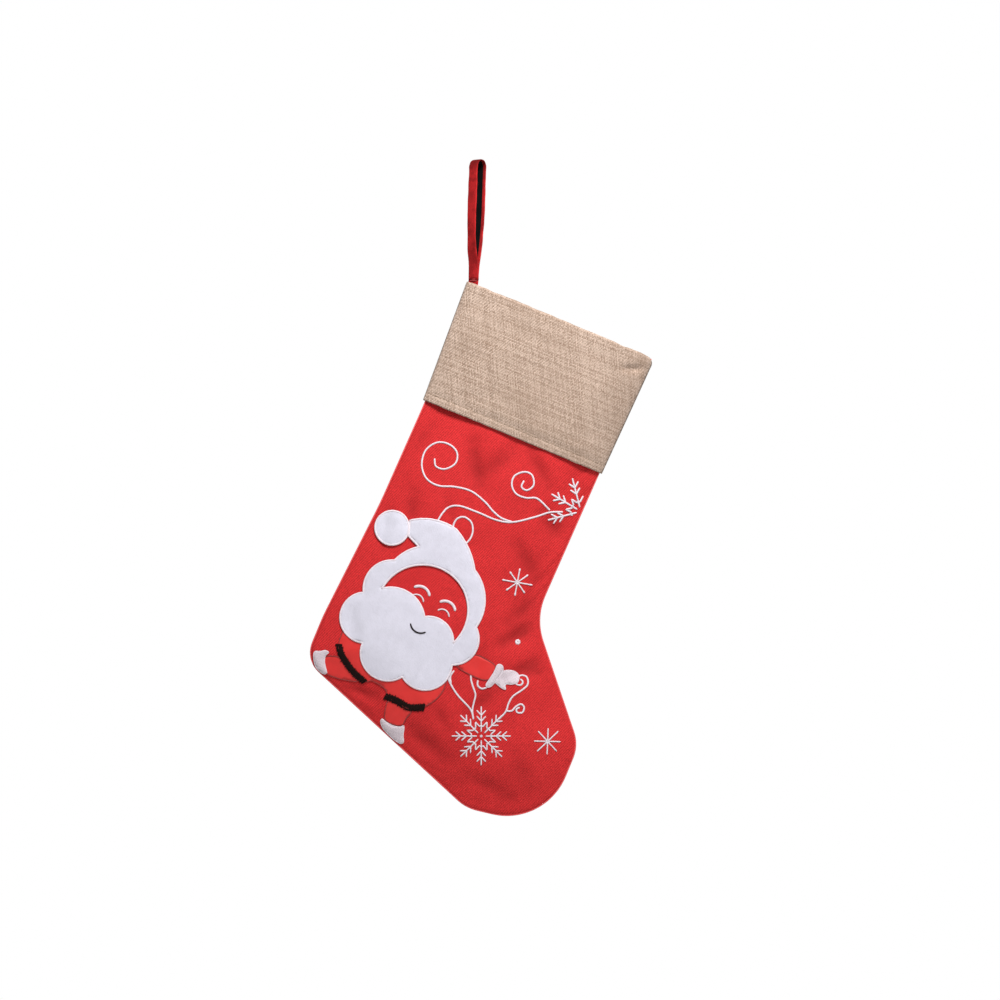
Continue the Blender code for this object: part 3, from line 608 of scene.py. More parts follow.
def settle(piece, frames):
    """Lets the cloth sink and wrinkle between its fixed edges. Each point stays within SETTLE_CAP of its
    start, and within SETTLE_SHARE of how far it stood off the middle plane, clear of the lining."""
    mesh = piece.data
    start = np.array([v.co for v in mesh.vertices])
    edge_use = {}
    for polygon in mesh.polygons:
        for key in polygon.edge_keys:
            edge_use[key] = edge_use.get(key, 0) + 1
    rim = sorted({v for key, uses in edge_use.items() if uses == 1 for v in key})
    pins = piece.vertex_groups.new(name="seam")
    pins.add(rim, 1.0, "REPLACE")
    cloth = piece.modifiers.new("settle", "CLOTH")
    cloth.settings.vertex_group_mass = "seam"
    cloth.settings.quality = 6
    cloth.settings.mass = 0.12
    cloth.settings.tension_stiffness = cloth.settings.compression_stiffness = 12.0
    cloth.settings.bending_stiffness = 0.25
    cloth.settings.shrink_min = -0.03
    cloth.settings.effector_weights.gravity = 0.35
    cloth.settings.use_pressure = True
    cloth.settings.uniform_pressure_force = 0.25
    cloth.collision_settings.use_collision = False
    scene = bpy.context.scene
    scene.frame_start, scene.frame_end = 1, frames
    for step in range(1, frames + 1):
        scene.frame_set(step)
    moved = piece.evaluated_get(bpy.context.evaluated_depsgraph_get()).data
    end = np.array([v.co for v in moved.vertices])
    piece.modifiers.remove(cloth)
    piece.vertex_groups.clear()
    scene.frame_set(1)
    shift = end - start
    far = np.linalg.norm(shift, axis=1, keepdims=True)
    limit = np.minimum(SETTLE_CAP, SETTLE_SHARE * np.abs(start[:, 1:2]))
    shift *= np.minimum(1.0, limit / np.maximum(far, 1e-9))
    mesh.vertices.foreach_set("co", (start + shift).ravel())
    mesh.update()


def thicken(piece, cloth):
    solid = piece.modifiers.new("cloth", "SOLIDIFY")
    solid.thickness, solid.offset = cloth, 0.0


def onward(previous, matrix):
    """The move that takes a ring placed by one matrix to the next."""
    return IN_MM.inverted() @ (IN_MM @ matrix) @ (IN_MM @ previous).inverted() @ IN_MM


def grow(shape, edges, previous, matrix):
    """Draws a ring's edges out to the next ring, which matrix places. Gives its corners and edges."""
    grown = bmesh.ops.extrude_edge_only(shape, edges=edges)["geom"]
    ring = [g for g in grown if isinstance(g, bmesh.types.BMVert)]
    bmesh.ops.transform(shape, matrix=onward(previous, matrix), verts=ring)
    return ring, [g for g in grown if isinstance(g, bmesh.types.BMEdge) and g.is_boundary]


def layer_of(shape, name):
    """The layer of this name that the shape's vertices carry."""
    return shape.verts.layers.float.get(name) or shape.verts.layers.float.new(name)


def tube(shape, path, normals, width, rise, closed=False, sides=8, taper=True):
    """Adds a flattened tube along the path, in metres: width wide, and standing rise each way along normals.
    Its vertices carry how far along and across the line they are."""
    along, across = layer_of(shape, "along"), layer_of(shape, "across")
    count = len(path)
    places = []
    for i in range(count + (1 if closed else 0)):
        here, normal = path[i % count], normals[i % count]
        before = path[(i - 1) % count] if closed else path[max(i - 1, 0)]
        after = path[(i + 1) % count] if closed else path[min(i + 1, count - 1)]
        ahead = (after - before).normalized()
        side = ahead.cross(normal).normalized()
        up = side.cross(ahead)
        places.append((here, side, up, ahead))
    scales = [1.0] * len(places)
    if not closed and taper:
        first, last = places[0], places[-1]
        places = [(first[0] - first[3] * width * 0.3, *first[1:])] + places
        places += [(last[0] + last[3] * width * 0.3, *last[1:])]
        scales = [0.35, 0.85] + scales[2:] + [0.85, 0.35]
    previous, ring, edges, run = None, [], [], 0.0
    for (here, side, up, ahead), scale in zip(places, scales):
        matrix = Matrix((side * width / 2 * scale, up * rise * scale, ahead)).transposed().to_4x4()
        matrix.translation = here
        if previous is None:
            ring = bmesh.ops.create_circle(shape, segments=sides, radius=1.0, matrix=matrix)["verts"]
            for k, vert in enumerate(ring):
                vert[across] = (vert.co - here).dot(side)
            edges = list({e for v in ring for e in v.link_edges})
            if not closed:
                bmesh.ops.contextual_create(shape, geom=edges)
        else:
            run += (here - previous.translation).length
            ring, edges = grow(shape, edges, previous, matrix)
        for vert in ring:
            vert[along] = run
        previous = matrix
    if closed:
        return
    bmesh.ops.contextual_create(shape, geom=edges)


class Ground:
    """The made surfaces that decoration is sewn on, found in front of points of the stocking's plane."""

    def __init__(self, *names, side=FRONT):
        self.side = side
        seen = bpy.context.evaluated_depsgraph_get()
        self.trees = [BVHTree.FromObject(bpy.data.objects[name], seen) for name in names]

    def at(self, point, lift=0.0):
        """(the place lift millimetres above the surface, the surface's outward direction)."""
        start = PLACE @ Vector((point[0], self.side * 60.0, point[1]))
        hits = [tree.ray_cast(start, Vector((0, -self.side, 0)))[:2] for tree in self.trees]
        hits = [hit for hit in hits if hit[0] is not None]
        if hits:
            place, normal = max(hits, key=lambda hit: hit[0].y * self.side)
        else:
            near, normal, _, _ = self.trees[0].find_nearest(Vector((start.x, self.side * 8.0 * MM, start.z)))
            place = Vector((start.x, near.y, start.z))
        if normal.y * self.side < 0:
            normal = -normal
        normal = (normal + Vector((0, self.side * 0.5, 0))).normalized()
        return place + normal * lift * MM, normal


def sew_line(shape, ground, line, width, rise, lift=0.0, closed=False, pitch=1.3, sides=8):
    """A line of satin stitch laid on the ground."""
    points = evenly(line + line[:1] if closed else line, pitch)
    if closed:
        points = points[:-1]
    laid = [ground.at(p, lift) for p in points]
    tube(shape, [p for p, _ in laid], [n for _, n in laid], width, rise, closed, sides)


PUFF_RUN = 9.0  # from a piece's edge to where its swelling is full
RIM_SHARE = 0.72  # of a piece's thickness that is left at its rounded edge
# No sheet can be declared narrower than 10 mm, so narrower ones get this side and their own area
LEAST_SIDE = 0.0101


def laid_piece(name, ground, outline, thick, paint, lift=0.0, hole=None, pitch=4.0, puff=0.0, **options):
    """A flat piece with this outline laid on the ground: its top stands thick above the surface, and its
    rounded edge goes down to it. puff swells it away from its edge."""
    shape = bmesh.new()
    rings = [[shape.verts.new((p[0], 0, p[1])) for p in ring]
             for ring in ([outline, hole] if hole else [outline])]
    edges = [shape.edges.new((a, b)) for ring in rings for a, b in zip(ring, ring[1:] + ring[:1])]
    bmesh.ops.triangle_fill(shape, use_beauty=True, edges=edges)
    low = [min(p[k] for p in outline) for k in (0, 1)]
    high = [max(p[k] for p in outline) for k in (0, 1)]
    for k, across in ((0, (1, 0, 0)), (1, (0, 0, 1))):
        place = low[k] + pitch * 0.37
        while place < high[k]:
            whole = shape.verts[:] + shape.edges[:] + shape.faces[:]
            bmesh.ops.bisect_plane(shape, geom=whole, dist=0.01, plane_no=across,
                                   plane_co=(place, 0, place))
            place += pitch
    bmesh.ops.triangulate(shape, faces=shape.faces)
    area = sum(f.calc_area() for f in shape.faces) * MM * MM
    flat = np.array([(v.co.x, v.co.z) for v in shape.verts])
    far = distances(flat, outline + outline[:1])
    if hole:
        far = np.minimum(far, distances(flat, hole + hole[:1]))
    rim = [e for e in shape.edges if e.is_boundary]
    on_rim = {v for e in rim for v in e.verts}
    normals = {}
    for vert, (u, w), d in zip(shape.verts, flat, far):
        swell = puff * math.sin(math.pi / 2 * min(1.0, d / PUFF_RUN))
        soft = thick / MM * (RIM_SHARE if vert in on_rim else 1.0) + swell
        place, normal = ground.at((u, w), lift + soft)
        vert.co = place
        normals[vert] = normal
    grown = bmesh.ops.extrude_edge_only(shape, edges=rim)["geom"]
    for vert in (g for g in grown if isinstance(g, bmesh.types.BMVert)):
        vert.co.y += 0.85 * thick + 0.15 * MM
    bmesh.ops.recalc_face_normals(shape, faces=shape.faces)
    if sum(f.normal.y * f.calc_area() for f in shape.faces) > 0:
        bmesh.ops.reverse_faces(shape, faces=shape.faces)
    made = add_piece(name, shape, paint, **options)
    made["cloth_area"] = area
    made["cloth_flat"] = [max(LEAST_SIDE, (top - bottom) * MM) for top, bottom in zip(high, low)]
    return made


def add_thread(name, shape, paint, stands_for=(), slot="white_thread", joined=False, body="stocking"):
    """The tubes as a finished piece of thread. joined closes the seam of lines that end where they start."""
    if joined:
        bmesh.ops.remove_doubles(shape, verts=shape.verts, dist=0.01 * MM)
    bmesh.ops.recalc_face_normals(shape, faces=shape.faces)
    add_piece(name, shape, paint, body, stands_for, slot)


# ---------------------------------------------------------------- the stage


class STOCKING_OT_stage(bpy.types.Operator):
    """Adds the floor, the soft studio light and the camera"""
    bl_idname = "stocking.stage"
    bl_label = "Stage"

    def execute(self, context):
        floor = bmesh.new()
        bmesh.ops.create_grid(floor, x_segments=1, y_segments=1, size=1.0)
        bmesh.ops.scale(floor, vec=(2.2, 1.6, 1.0), verts=floor.verts)
        bmesh.ops.translate(floor, vec=(0.0, -0.65, -1.03), verts=floor.verts)
        paint = Paint("pale_floor", 0.7)
        where = paint.place()
        tones = (0.80, 0.80, 0.79, 1), (0.86, 0.86, 0.85, 1)
        paint.set("Base Color", paint.blend(paint.cloud(where, 3.0), *tones))
        mesh = bpy.data.meshes.new("floor")
        floor.to_mesh(mesh)
        floor.free()
        mesh.materials.append(paint.material)
        made = bpy.data.objects.new("floor", mesh)
        context.scene.collection.objects.link(made)

        self.light(context, "key", (0.22, -0.75, 0.68), 0.35, 23.5)
        self.light(context, "fill", (1.1, -1.4, 0.0), 1.2, 4.0)
        self.light(context, "back", (0.5, 1.2, 0.3), 1.0, 8.0)

        lens = bpy.data.cameras.new("camera")
        lens.lens, lens.sensor_width = 85.0, 36.0
        camera = bpy.data.objects.new("camera", lens)
        camera.location = (0.0208, -2.241, -0.3213)
        camera.rotation_euler = (math.radians(90), 0, 0)
        context.scene.collection.objects.link(camera)
        context.scene.camera = camera

        world = bpy.data.worlds.new("studio")
        context.scene.world = world
        world.use_nodes = True
        nodes, links = world.node_tree.nodes, world.node_tree.links
        room = nodes["Background"]
        room.inputs["Color"].default_value = (1, 1, 1, 1)
        room.inputs["Strength"].default_value = 0.27
        seen, path, join = (nodes.new("ShaderNodeBackground"), nodes.new("ShaderNodeLightPath"),
                            nodes.new("ShaderNodeMixShader"))
        seen.inputs["Color"].default_value = (1, 1, 1, 1)
        links.new(path.outputs["Is Camera Ray"], join.inputs["Fac"])
        links.new(room.outputs[0], join.inputs[1])
        links.new(seen.outputs[0], join.inputs[2])
        links.new(join.outputs[0], nodes["World Output"].inputs["Surface"])
        context.scene.view_settings.view_transform = "Standard"
        return {"FINISHED"}

    def light(self, context, name, place, size, power):
        lamp = bpy.data.lights.new(name, "AREA")
        lamp.shape, lamp.size, lamp.energy = "DISK", size, power
        made = bpy.data.objects.new(name, lamp)
        made.location = place
        aim = Vector((0.02, 0, -0.35)) - Vector(place)
        made.rotation_euler = aim.to_track_quat("-Z", "Y").to_euler()
        context.scene.collection.objects.link(made)


# ---------------------------------------------------------------- the loop


# The frame's loop, in millimetres. The strap turns to show its near-black tape, painted shade inside the
# loop's eye, lower down than the frame's.
LOOP_HANG, LOOP_OFFSET, LOOP_WIDTH, LOOP_CLOTH = 112.5, -4.25, 9.5, 1.2
SHADE_TAPE_WIDTH, SHADE_TAPE_CLOTH, EYE_SPREAD = 5.2, 0.4, 14.6
TAPE_WIDTH = SHADE_TAPE_WIDTH + 1.5  # the dark tape as it shows here
LOOP_TWIST, TWIST_HEIGHT, TAIL_LENGTH = math.radians(34.0), 30.0, 15.8


def loop_frames(low):
    """Frames of (middle, across, outward) from low, in millimetres, up one strand and down the other."""
    radius = EYE_SPREAD / 2
    inner = LOOP_CLOTH / 2 + SHADE_TAPE_CLOTH + 0.3
    top = inner - radius
    twist_low = -LOOP_HANG + 2.5
    closed = inner + 0.4
    rise = [min(1.0, i / 30) * (top - low) for i in range(31)]

    def strand(height, sign):
        share = math.sin(math.pi / 2 * max(0.0, min(1.0, (low + height - twist_low) / 66.0))) ** 1.1
        return sign * (closed + (radius - closed) * share), low + height

    points = [strand(h, 1) for h in rise]
    points += [(radius * math.cos(a), top + radius * math.sin(a))
               for a in (math.pi * i / 16 for i in range(1, 16))]
    points += [strand(h, -1) for h in reversed(rise)]
    frames = []
    for i, (spread, z) in enumerate(points):
        before, after = points[max(i - 1, 0)], points[min(i + 1, len(points) - 1)]
        along = Vector((after[0] - before[0], after[1] - before[1])).normalized()
        done = max(0.0, min(1.0, (z - twist_low) / TWIST_HEIGHT))
        twist = LOOP_TWIST * done * done * (3 - 2 * done)
        across = Vector((math.cos(twist), -math.sin(twist), 0))
        through = Vector((math.sin(twist), math.cos(twist), 0))
        middle = through * spread + Vector((LOOP_OFFSET * z / -LOOP_HANG, 0, z))
        frames.append((middle * MM, across, through * along.y - Vector((0, 0, along.x))))
    return frames


def ribbon(shape, frames, width, cloth, offset=0.0, shift=0.0, uneven=0.0):
    """Adds a flat strap with soft edges along the frames; offset and shift move it off their middle."""
    along, across_layer = layer_of(shape, "along"), layer_of(shape, "across")
    previous, edges, run = None, [], 0.0
    for i, (middle, across, outward) in enumerate(frames):
        wave = 1.0 + uneven * noise.noise(Vector((i * 0.37, 4.1, 0.3)))
        ahead = across.cross(outward).normalized()
        matrix = Matrix((across * width / 2 * wave * MM, outward * cloth / 2 * MM, ahead))
        matrix = matrix.transposed().to_4x4()
        matrix.translation = middle + (across * shift + outward * offset) * MM
        if previous is None:
            ring = bmesh.ops.create_circle(shape, segments=20, radius=1.0)["verts"]
            for vert in ring:
                vert.co.x, vert.co.y = (math.copysign(abs(c) ** 0.35, c) for c in vert.co[:2])
                vert[across_layer] = vert.co.x * width / 2 * MM
            edges = list({e for v in ring for e in v.link_edges})
            bmesh.ops.transform(shape, matrix=matrix, verts=ring)
            bmesh.ops.contextual_create(shape, geom=edges)
        else:
            run += (matrix.translation - previous.translation).length
            ring, edges = grow(shape, edges, previous, matrix)
        for vert in ring:
            vert[along] = run
        previous = matrix
    bmesh.ops.contextual_create(shape, geom=edges)
    bmesh.ops.recalc_face_normals(shape, faces=shape.faces)
    return run


def tape_paint(name, colour, pitch=0.0011, sheen=0.25):
    """Narrow woven strap: fine ribs across it, and paler edges, a painted highlight."""
    paint = Paint(name, 0.9, Sheen_Weight=sheen, Specular_IOR_Level=0.08)
    along, across = paint.attribute("along"), paint.attribute("across")
    rough = paint.cloud(paint.place(), 1400.0, 3.0)
    blotch = paint.cloud(paint.place(), 90.0, 3.0)
    rib = (along * (math.tau / pitch) + across * (math.tau / pitch * 0.6) + rough * 2.0).sine() * 0.5 + 0.5
    # Painted highlight: the colour is lightened towards both edges of the strap.
    edge = (abs(across) * (1 / (LOOP_WIDTH / 2 * MM))).smooth(0.72, 1.0)
    base = paint.blend((rib * 0.6 + rough * 0.4).smooth(0.15, 0.85), rgb(colour, 0.72), rgb(colour, 1.2))
    base = paint.blend(edge * 0.5, base, rgb(colour, 1.8))
    base = paint.blend(blotch.smooth(0.42, 0.66) * 0.65, base, rgb(colour, 0.35))
    height = paint.parts(paint.place())[2]
    paint.set("Base Color", paint.blend(height.smooth(-14 * MM, 0.0) * 0.75, base, rgb(colour, 0.2)))
    paint.relief(rib + rough * 0.5, 0.00025, 0.9)
    return paint.material


class STOCKING_OT_loop(bpy.types.Operator):
    """Makes the hanging loop, its near-black tape of painted shade inside the eye, the stitches at its bend
    and its sewn ends
    """
    bl_idname = "stocking.loop"
    bl_label = "Loop"

    def execute(self, context):
        # Painted shade: the loop's red is the leg's red darkened to 0.62 of it, though both are one cloth.
        red = tape_paint("loop_red", [c * 0.62 for c in colours().red], sheen=0.0)
        # Painted shade: a near-black tape on the strap's inner face stands for the dark inside the loop's
        # eye.
        dark = tape_paint("loop_dark", (0.004, 0.004, 0.004), sheen=0.0)
        low = -LOOP_HANG

        strap = bmesh.new()
        length = ribbon(strap, loop_frames(low), LOOP_WIDTH, LOOP_CLOTH, uneven=0.12)
        strap = add_piece("loop_strap", strap, red, None, ["loop_strip"], "red_twill")
        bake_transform(strap)

        tape = bmesh.new()
        inside = -(LOOP_CLOTH / 2 + SHADE_TAPE_CLOTH / 2)
        length = ribbon(tape, loop_frames(low + 3), TAPE_WIDTH, SHADE_TAPE_CLOTH, inside,
                        (SHADE_TAPE_WIDTH - LOOP_WIDTH) / 2 + 0.6, 0.05)
        tape = add_piece("loop_tape", tape, dark, None, ["loop_backing"], "black_tape")
        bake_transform(tape)

        stitches = bmesh.new()
        for height in (-0.9, 0.0, 0.9):
            ring = [BEND + Vector((math.cos(a) * 4.4 + height * 0.4, math.sin(a) * 2.1, height)) * MM
                    for a in (math.tau * i / 24 for i in range(24))]
            out = [(p - BEND).normalized() for p in ring]
            tube(stitches, ring, out, 0.7 * MM, 0.35 * MM, closed=True, sides=6)
        thread = embroidered("red_thread", (0.38, 0.02, 0.02))
        add_thread("loop_tack_stitches", stitches, thread, ["loop_tack"], "red_thread", True, "loop_bend")

        tail = bmesh.new()
        down = PLACE.to_3x3() @ Vector((0, 0, -1)) / MM
        side = PLACE.to_3x3() @ Vector((1, 0, 0)) / MM
        frames = []
        for i in range(9):
            bend = min(1.0, i / 4)
            ahead = Vector((0, 0, -1)).lerp(down, bend).normalized()
            across = Vector((1, 0, 0)).lerp(side, bend).normalized()
            start = BEND if not frames else frames[-1][0]
            middle = start + ahead * (TAIL_LENGTH / 8 * MM if frames else 0.0)
            frames.append((middle, across, Vector((0, -1, 0))))
        length = ribbon(tail, frames, LOOP_WIDTH, 2 * LOOP_CLOTH + 0.3)
        tail = add_piece("loop_tail", tail, red, None, ["loop_ends"], "red_twill")
        tuple(BEND + down * 6 * MM)
        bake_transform(tail)
        return {"FINISHED"}


# ---------------------------------------------------------------- leg and lining


class STOCKING_OT_leg(bpy.types.Operator):
    """Makes the leg's two cloth panels, the seam that joins them and the lining"""
    bl_idname = "stocking.leg"
    bl_label = "Leg"
    turns = ((0, 0, 0), (0.45, 0.38, 0.50), (0.70, 0.66, 0.74), (1, 1, 1))

    def execute(self, context):
        red = twill("leg_red", colours().red, sizes().twill_pitch)
        pale = twill("lining_pale", colours().lining, 0.9 * MM, 0.1, 0.08)
        side_line = rounded(side_corners())
        for side, word, folds in ((FRONT, "front", FRONT_FOLDS), (BACK, "back", BACK_FOLDS)):
            flat = patch(side_line, 76, 176, self.turns)
            piece = add_piece(f"leg_{word}_cloth", self.panel(flat, side_line, folds, side), red, "stocking",
                              [f"leg_{word}"], "red_twill")
            settle(piece, sizes().settle_frames)
            thicken(piece, sizes().leg_cloth)
            flat_area(flat)

            inner = rounded(side_corners(LINING_INSET))
            flat = patch(inner, 40, 90, self.turns)
            points = flat.reshape(-1, 2)
            far = distances(points, inner)
            upper = np.clip((points[:, 1] + CUFF_HEIGHT + 20.0) / 60.0, 0, 1)
            heights = crown(far, LINING_FULLNESS) * (1 + LINING_FULLER_IN_CUFF * upper)
            heights += soft_noise(points, 30.0, 9 + side) * np.minimum(0.2, far / 80)
            shape = grid_piece(flat, heights.reshape(flat.shape[:2]), side)
            piece = add_piece(f"lining_{word}_cloth", shape, pale, "stocking", [f"lining_{word}"],
                              "white_lining")
            thicken(piece, 0.5 * MM)
            flat_area(flat)
        self.seam(side_line)
        return {"FINISHED"}

    def panel(self, flat, side_line, folds, side):
        points = flat.reshape(-1, 2)
        far = distances(points, side_line)
        fade = np.clip(far / 14.0, 0, 1) ** 1.5
        heights = crown(far, LEG_DEPTH) + 0.5 * np.clip(far / 3.0, 0, 1)
        folded = np.zeros(len(points))
        for start, end, width, depth in folds:
            folded += depth * dent(points, start, end, width * 0.9) * fade
        heights -= sizes().fold_depth * folded
        heights += (soft_noise(points, 46.0, 3.0 * side) + soft_noise(points, 17.0, 5.0 * side) * 0.42
                    + soft_noise(points, 8.0, 7.0 * side) * 0.12) * fade
        heights += soft_noise(points, 7.0, 11.0 * side) * 0.55 * np.exp(-far / 7.0) * np.clip(far / 2.0, 0, 1)
        heights = np.maximum(heights, LEAST_LEG_SHARE * crown(far, LEG_DEPTH))
        # The last argument is how deep each point lies in a fold, for the painted shade in the folds.
        return grid_piece(flat, heights.reshape(flat.shape[:2]), side, np.clip(folded / 1.6, 0, 1))

    def seam(self, side_line):
        shape = bmesh.new()
        path = [PLACE @ Vector((p.x, 0, p.y)) for p in evenly(side_line, 3.0)]
        tube(shape, path, [Vector((0, -1, 0))] * len(path), 1.5 * MM, 0.75 * MM, sides=10)
        # Painted highlight: the seam's red is lighter than the leg's, for the light along the sewn edge.
        edge = embroidered("seam_red", [min(1, c * 1.15 + 0.05) for c in colours().red], 1.6, 0.7)
        add_thread("leg_seam", shape, edge, slot="red_twill")


# ---------------------------------------------------------------- cuff


CUFF_TURNS = 21.0  # cloth turned in at the mouth and under at the hem, together
CUFF_TAPERED = 0.97  # share of its rectangle that the tapering cuff takes up


class STOCKING_OT_cuff(bpy.types.Operator):
    """Makes the turned-down cuff with its rolled top edge, folded hem and hem stitches"""
    bl_idname = "stocking.cuff"
    bl_label = "Cuff"
    corner_radius = 7.0  # of the top edge's corner on the toe side

    def execute(self, context):
        coarse = burlap("cuff_burlap", colours().burlap_light, colours().burlap_dark, sizes().weave_pitch)
        thread = embroidered("beige_thread", (0.40, 0.285, 0.205), 0.9, 0.7)
        for side, word in ((FRONT, "front"), (BACK, "back")):
            shape, area = self.panel(side)
            piece = add_piece(f"cuff_{word}_cloth", shape, coarse, "stocking", [f"cuff_{word}"], "burlap")
            thicken(piece, sizes().cuff_cloth)
            ground = Ground(piece.name, side=side)
            shape = bmesh.new()
            up = HEM_INSET - CUFF_HEIGHT
            start = CUFF_TAPER + 1.5
            while start < CUFF_WIDTH - CUFF_TAPER - 4.0:
                dash = [ground.at((start + step, up + 0.25 * math.sin(start)), 0.05)
                        for step in (0, 0.9, 1.8, 2.7)]
                tube(shape, [p for p, _ in dash], [n for _, n in dash], 0.75 * MM, 0.4 * MM, sides=6)
                start += 3.9
            add_thread(f"hem_stitch_{word}", shape, thread, [f"cuff_hem_stitch_{word}"], "beige_thread")
        return {"FINISHED"}

    def panel(self, side):
        """The cuff's sheet from inside the mouth, over the rolled top edge and down to the folded hem."""
        rows = [(-12, 0, 0), (-9, 0, 0), (-6, 0, 0), (-3.2, 0, 0), (-1.5, 0.03, 0), (-0.7, 0.12, 0),
                (-0.25, 0.3, 0), (-0.1, 0.55, 0), (-0.3, 0.8, 0), (-0.9, 0.95, 0), (-1.9, 1, 0)]
        rows += [(-1.9 - (CUFF_HEIGHT - 3.0) * i / 74, 1, 0) for i in range(1, 75)]
        rows += [(0.35 - CUFF_HEIGHT, 1, 0.15), (0.05 - CUFF_HEIGHT, 1, 0.6), (0.1 - CUFF_HEIGHT, 1, 1.1),
                 (0.6 - CUFF_HEIGHT, 1, 1.5), (2.0 - CUFF_HEIGHT, 1, 1.65), (5.0 - CUFF_HEIGHT, 1, 1.65)]
        columns = 118
        flat = np.zeros((len(rows), columns, 2))
        outer, drop = np.zeros(flat.shape[:2]), np.zeros(flat.shape[:2])
        for i, (up, share, under) in enumerate(rows):
            taper = CUFF_TAPER * -up / CUFF_HEIGHT
            flat[i, :, 0] = np.linspace(taper, CUFF_WIDTH - taper, columns)
            flat[i, :, 1] = up
            outer[i], drop[i] = share, under
        points = flat.reshape(-1, 2)
        edges = [[np.array(p) * 3 - np.array(q) * 2, np.array(q) * 3 - np.array(p) * 2]
                 for p, q in (cuff_edge(False), cuff_edge(True))]
        far = np.minimum(distances(points, edges[0]), distances(points, edges[1]))
        hem = points[:, 1] + CUFF_HEIGHT - HEM_INSET
        pull = 0.9 * np.clip((6.0 - hem) / 4.0, 0, 1)
        fade = np.clip(far / 10.0, 0, 1)
        full = crown(far, CUFF_DEPTH, 0.75) * (1 - pull / CUFF_DEPTH) + 0.7 * np.clip(far / 3.0, 0, 1)
        full += (soft_noise(points, 48.0, 21.0 * side) + soft_noise(points, 15.0, 23.0 * side) * 0.35) * fade
        full += 0.35 * np.clip(-hem / 1.5, 0, 1) - 0.7 * np.exp(-(hem / 1.0) ** 2)
        if side == FRONT:
            full -= 3.0 * dent(points, (168, -20), (187, -12), 3.6) * fade
            full -= 0.8 * dent(points, (20, -112), (60, -96), 9.0) * fade
            full -= 0.7 * dent(points, (150, -100), (178, -78), 9.0) * fade
        within = crown(far, LINING_DEPTH - 1.6)
        share = outer.reshape(-1)
        heights = (share * full + (1 - share) * within - drop.reshape(-1) * np.clip(far / 4.0, 0, 1)).reshape(
            flat.shape[:2])
        level = np.stack([points[:, 0], points[:, 0] * 0], axis=1)
        ripple = soft_noise(level, 11.0, 31.0 + side) + 1.2 * soft_noise(level, 34.0, 37.0)
        laid = flat.copy().reshape(-1, 2)
        corner = np.clip(self.corner_radius + points[:, 1], 0, self.corner_radius)
        inward = self.corner_radius - np.sqrt(self.corner_radius ** 2 - corner ** 2)
        laid[:, 0] -= inward * np.clip(1 - (CUFF_WIDTH - points[:, 0]) / 30.0, 0, 1)
        top = np.clip(1 + points[:, 1] / 12.0, 0, 1)
        low = np.clip(1 - (points[:, 1] + CUFF_HEIGHT) / 10.0, 0, 1)
        laid[:, 1] += 0.9 * ripple * top * fade + 0.4 * ripple * low * fade
        lifted = grid_piece(laid.reshape(flat.shape), heights, side)
        return lifted, CUFF_WIDTH * (CUFF_HEIGHT + CUFF_TURNS) * MM * MM * CUFF_TAPERED


# ---------------------------------------------------------------- the figure


HAT_AND_BEARD = [(-52, 67, 5), (-10, 81.5, 3), (24, 57, 9), (52, 11, 12), (50, -31, 18), (15, -64, 18),
                 (-33, -55, 22), (-56, -14, 10), (-46, 27, 2), (-32, 50, 0), (-46, 54, 0)]
FACE = [(-FACE_RADIUS, -2, 13), (0, FACE_RADIUS, 18), (FACE_RADIUS - 2, -13, -9), (5, -5, -11)]
SATIN_PIECES = {
    "coat": [(25.7, -341.4), (18.3, -347.8), (18.2, -357.9), (19.7, -365.6), (23.6, -373.1), (35.9, -382.1),
             (49.5, -389.0), (57.6, -386.4), (61.4, -382.6), (78.0, -385.5), (79.4, -391.6), (90.5, -393.6),
             (104.3, -394.6), (117.0, -387.1), (123.9, -377.6), (127.6, -367.4), (127.2, -359.3),
             (126.9, -352.8), (101.9, -352.0), (53.4, -352.0)],
    "sleeve": [(140.8, -321.5), (164.6, -324.4), (165.2, -330.5), (163.2, -343.8), (127.7, -341.2),
               (131.0, -332.0)],
    "trouser_left": [(10.6, -379.3), (24.9, -373.7), (36.0, -381.0), (53.1, -388.8), (36.0, -393.5),
                     (18.1, -395.3), (13.2, -386.5)],
    "trouser_right": [(81.9, -393.5), (96.9, -395.0), (108.4, -394.9), (104.7, -404.4), (104.9, -412.1),
                      (95.9, -414.7), (86.4, -413.6), (83.8, -405.5)],
}


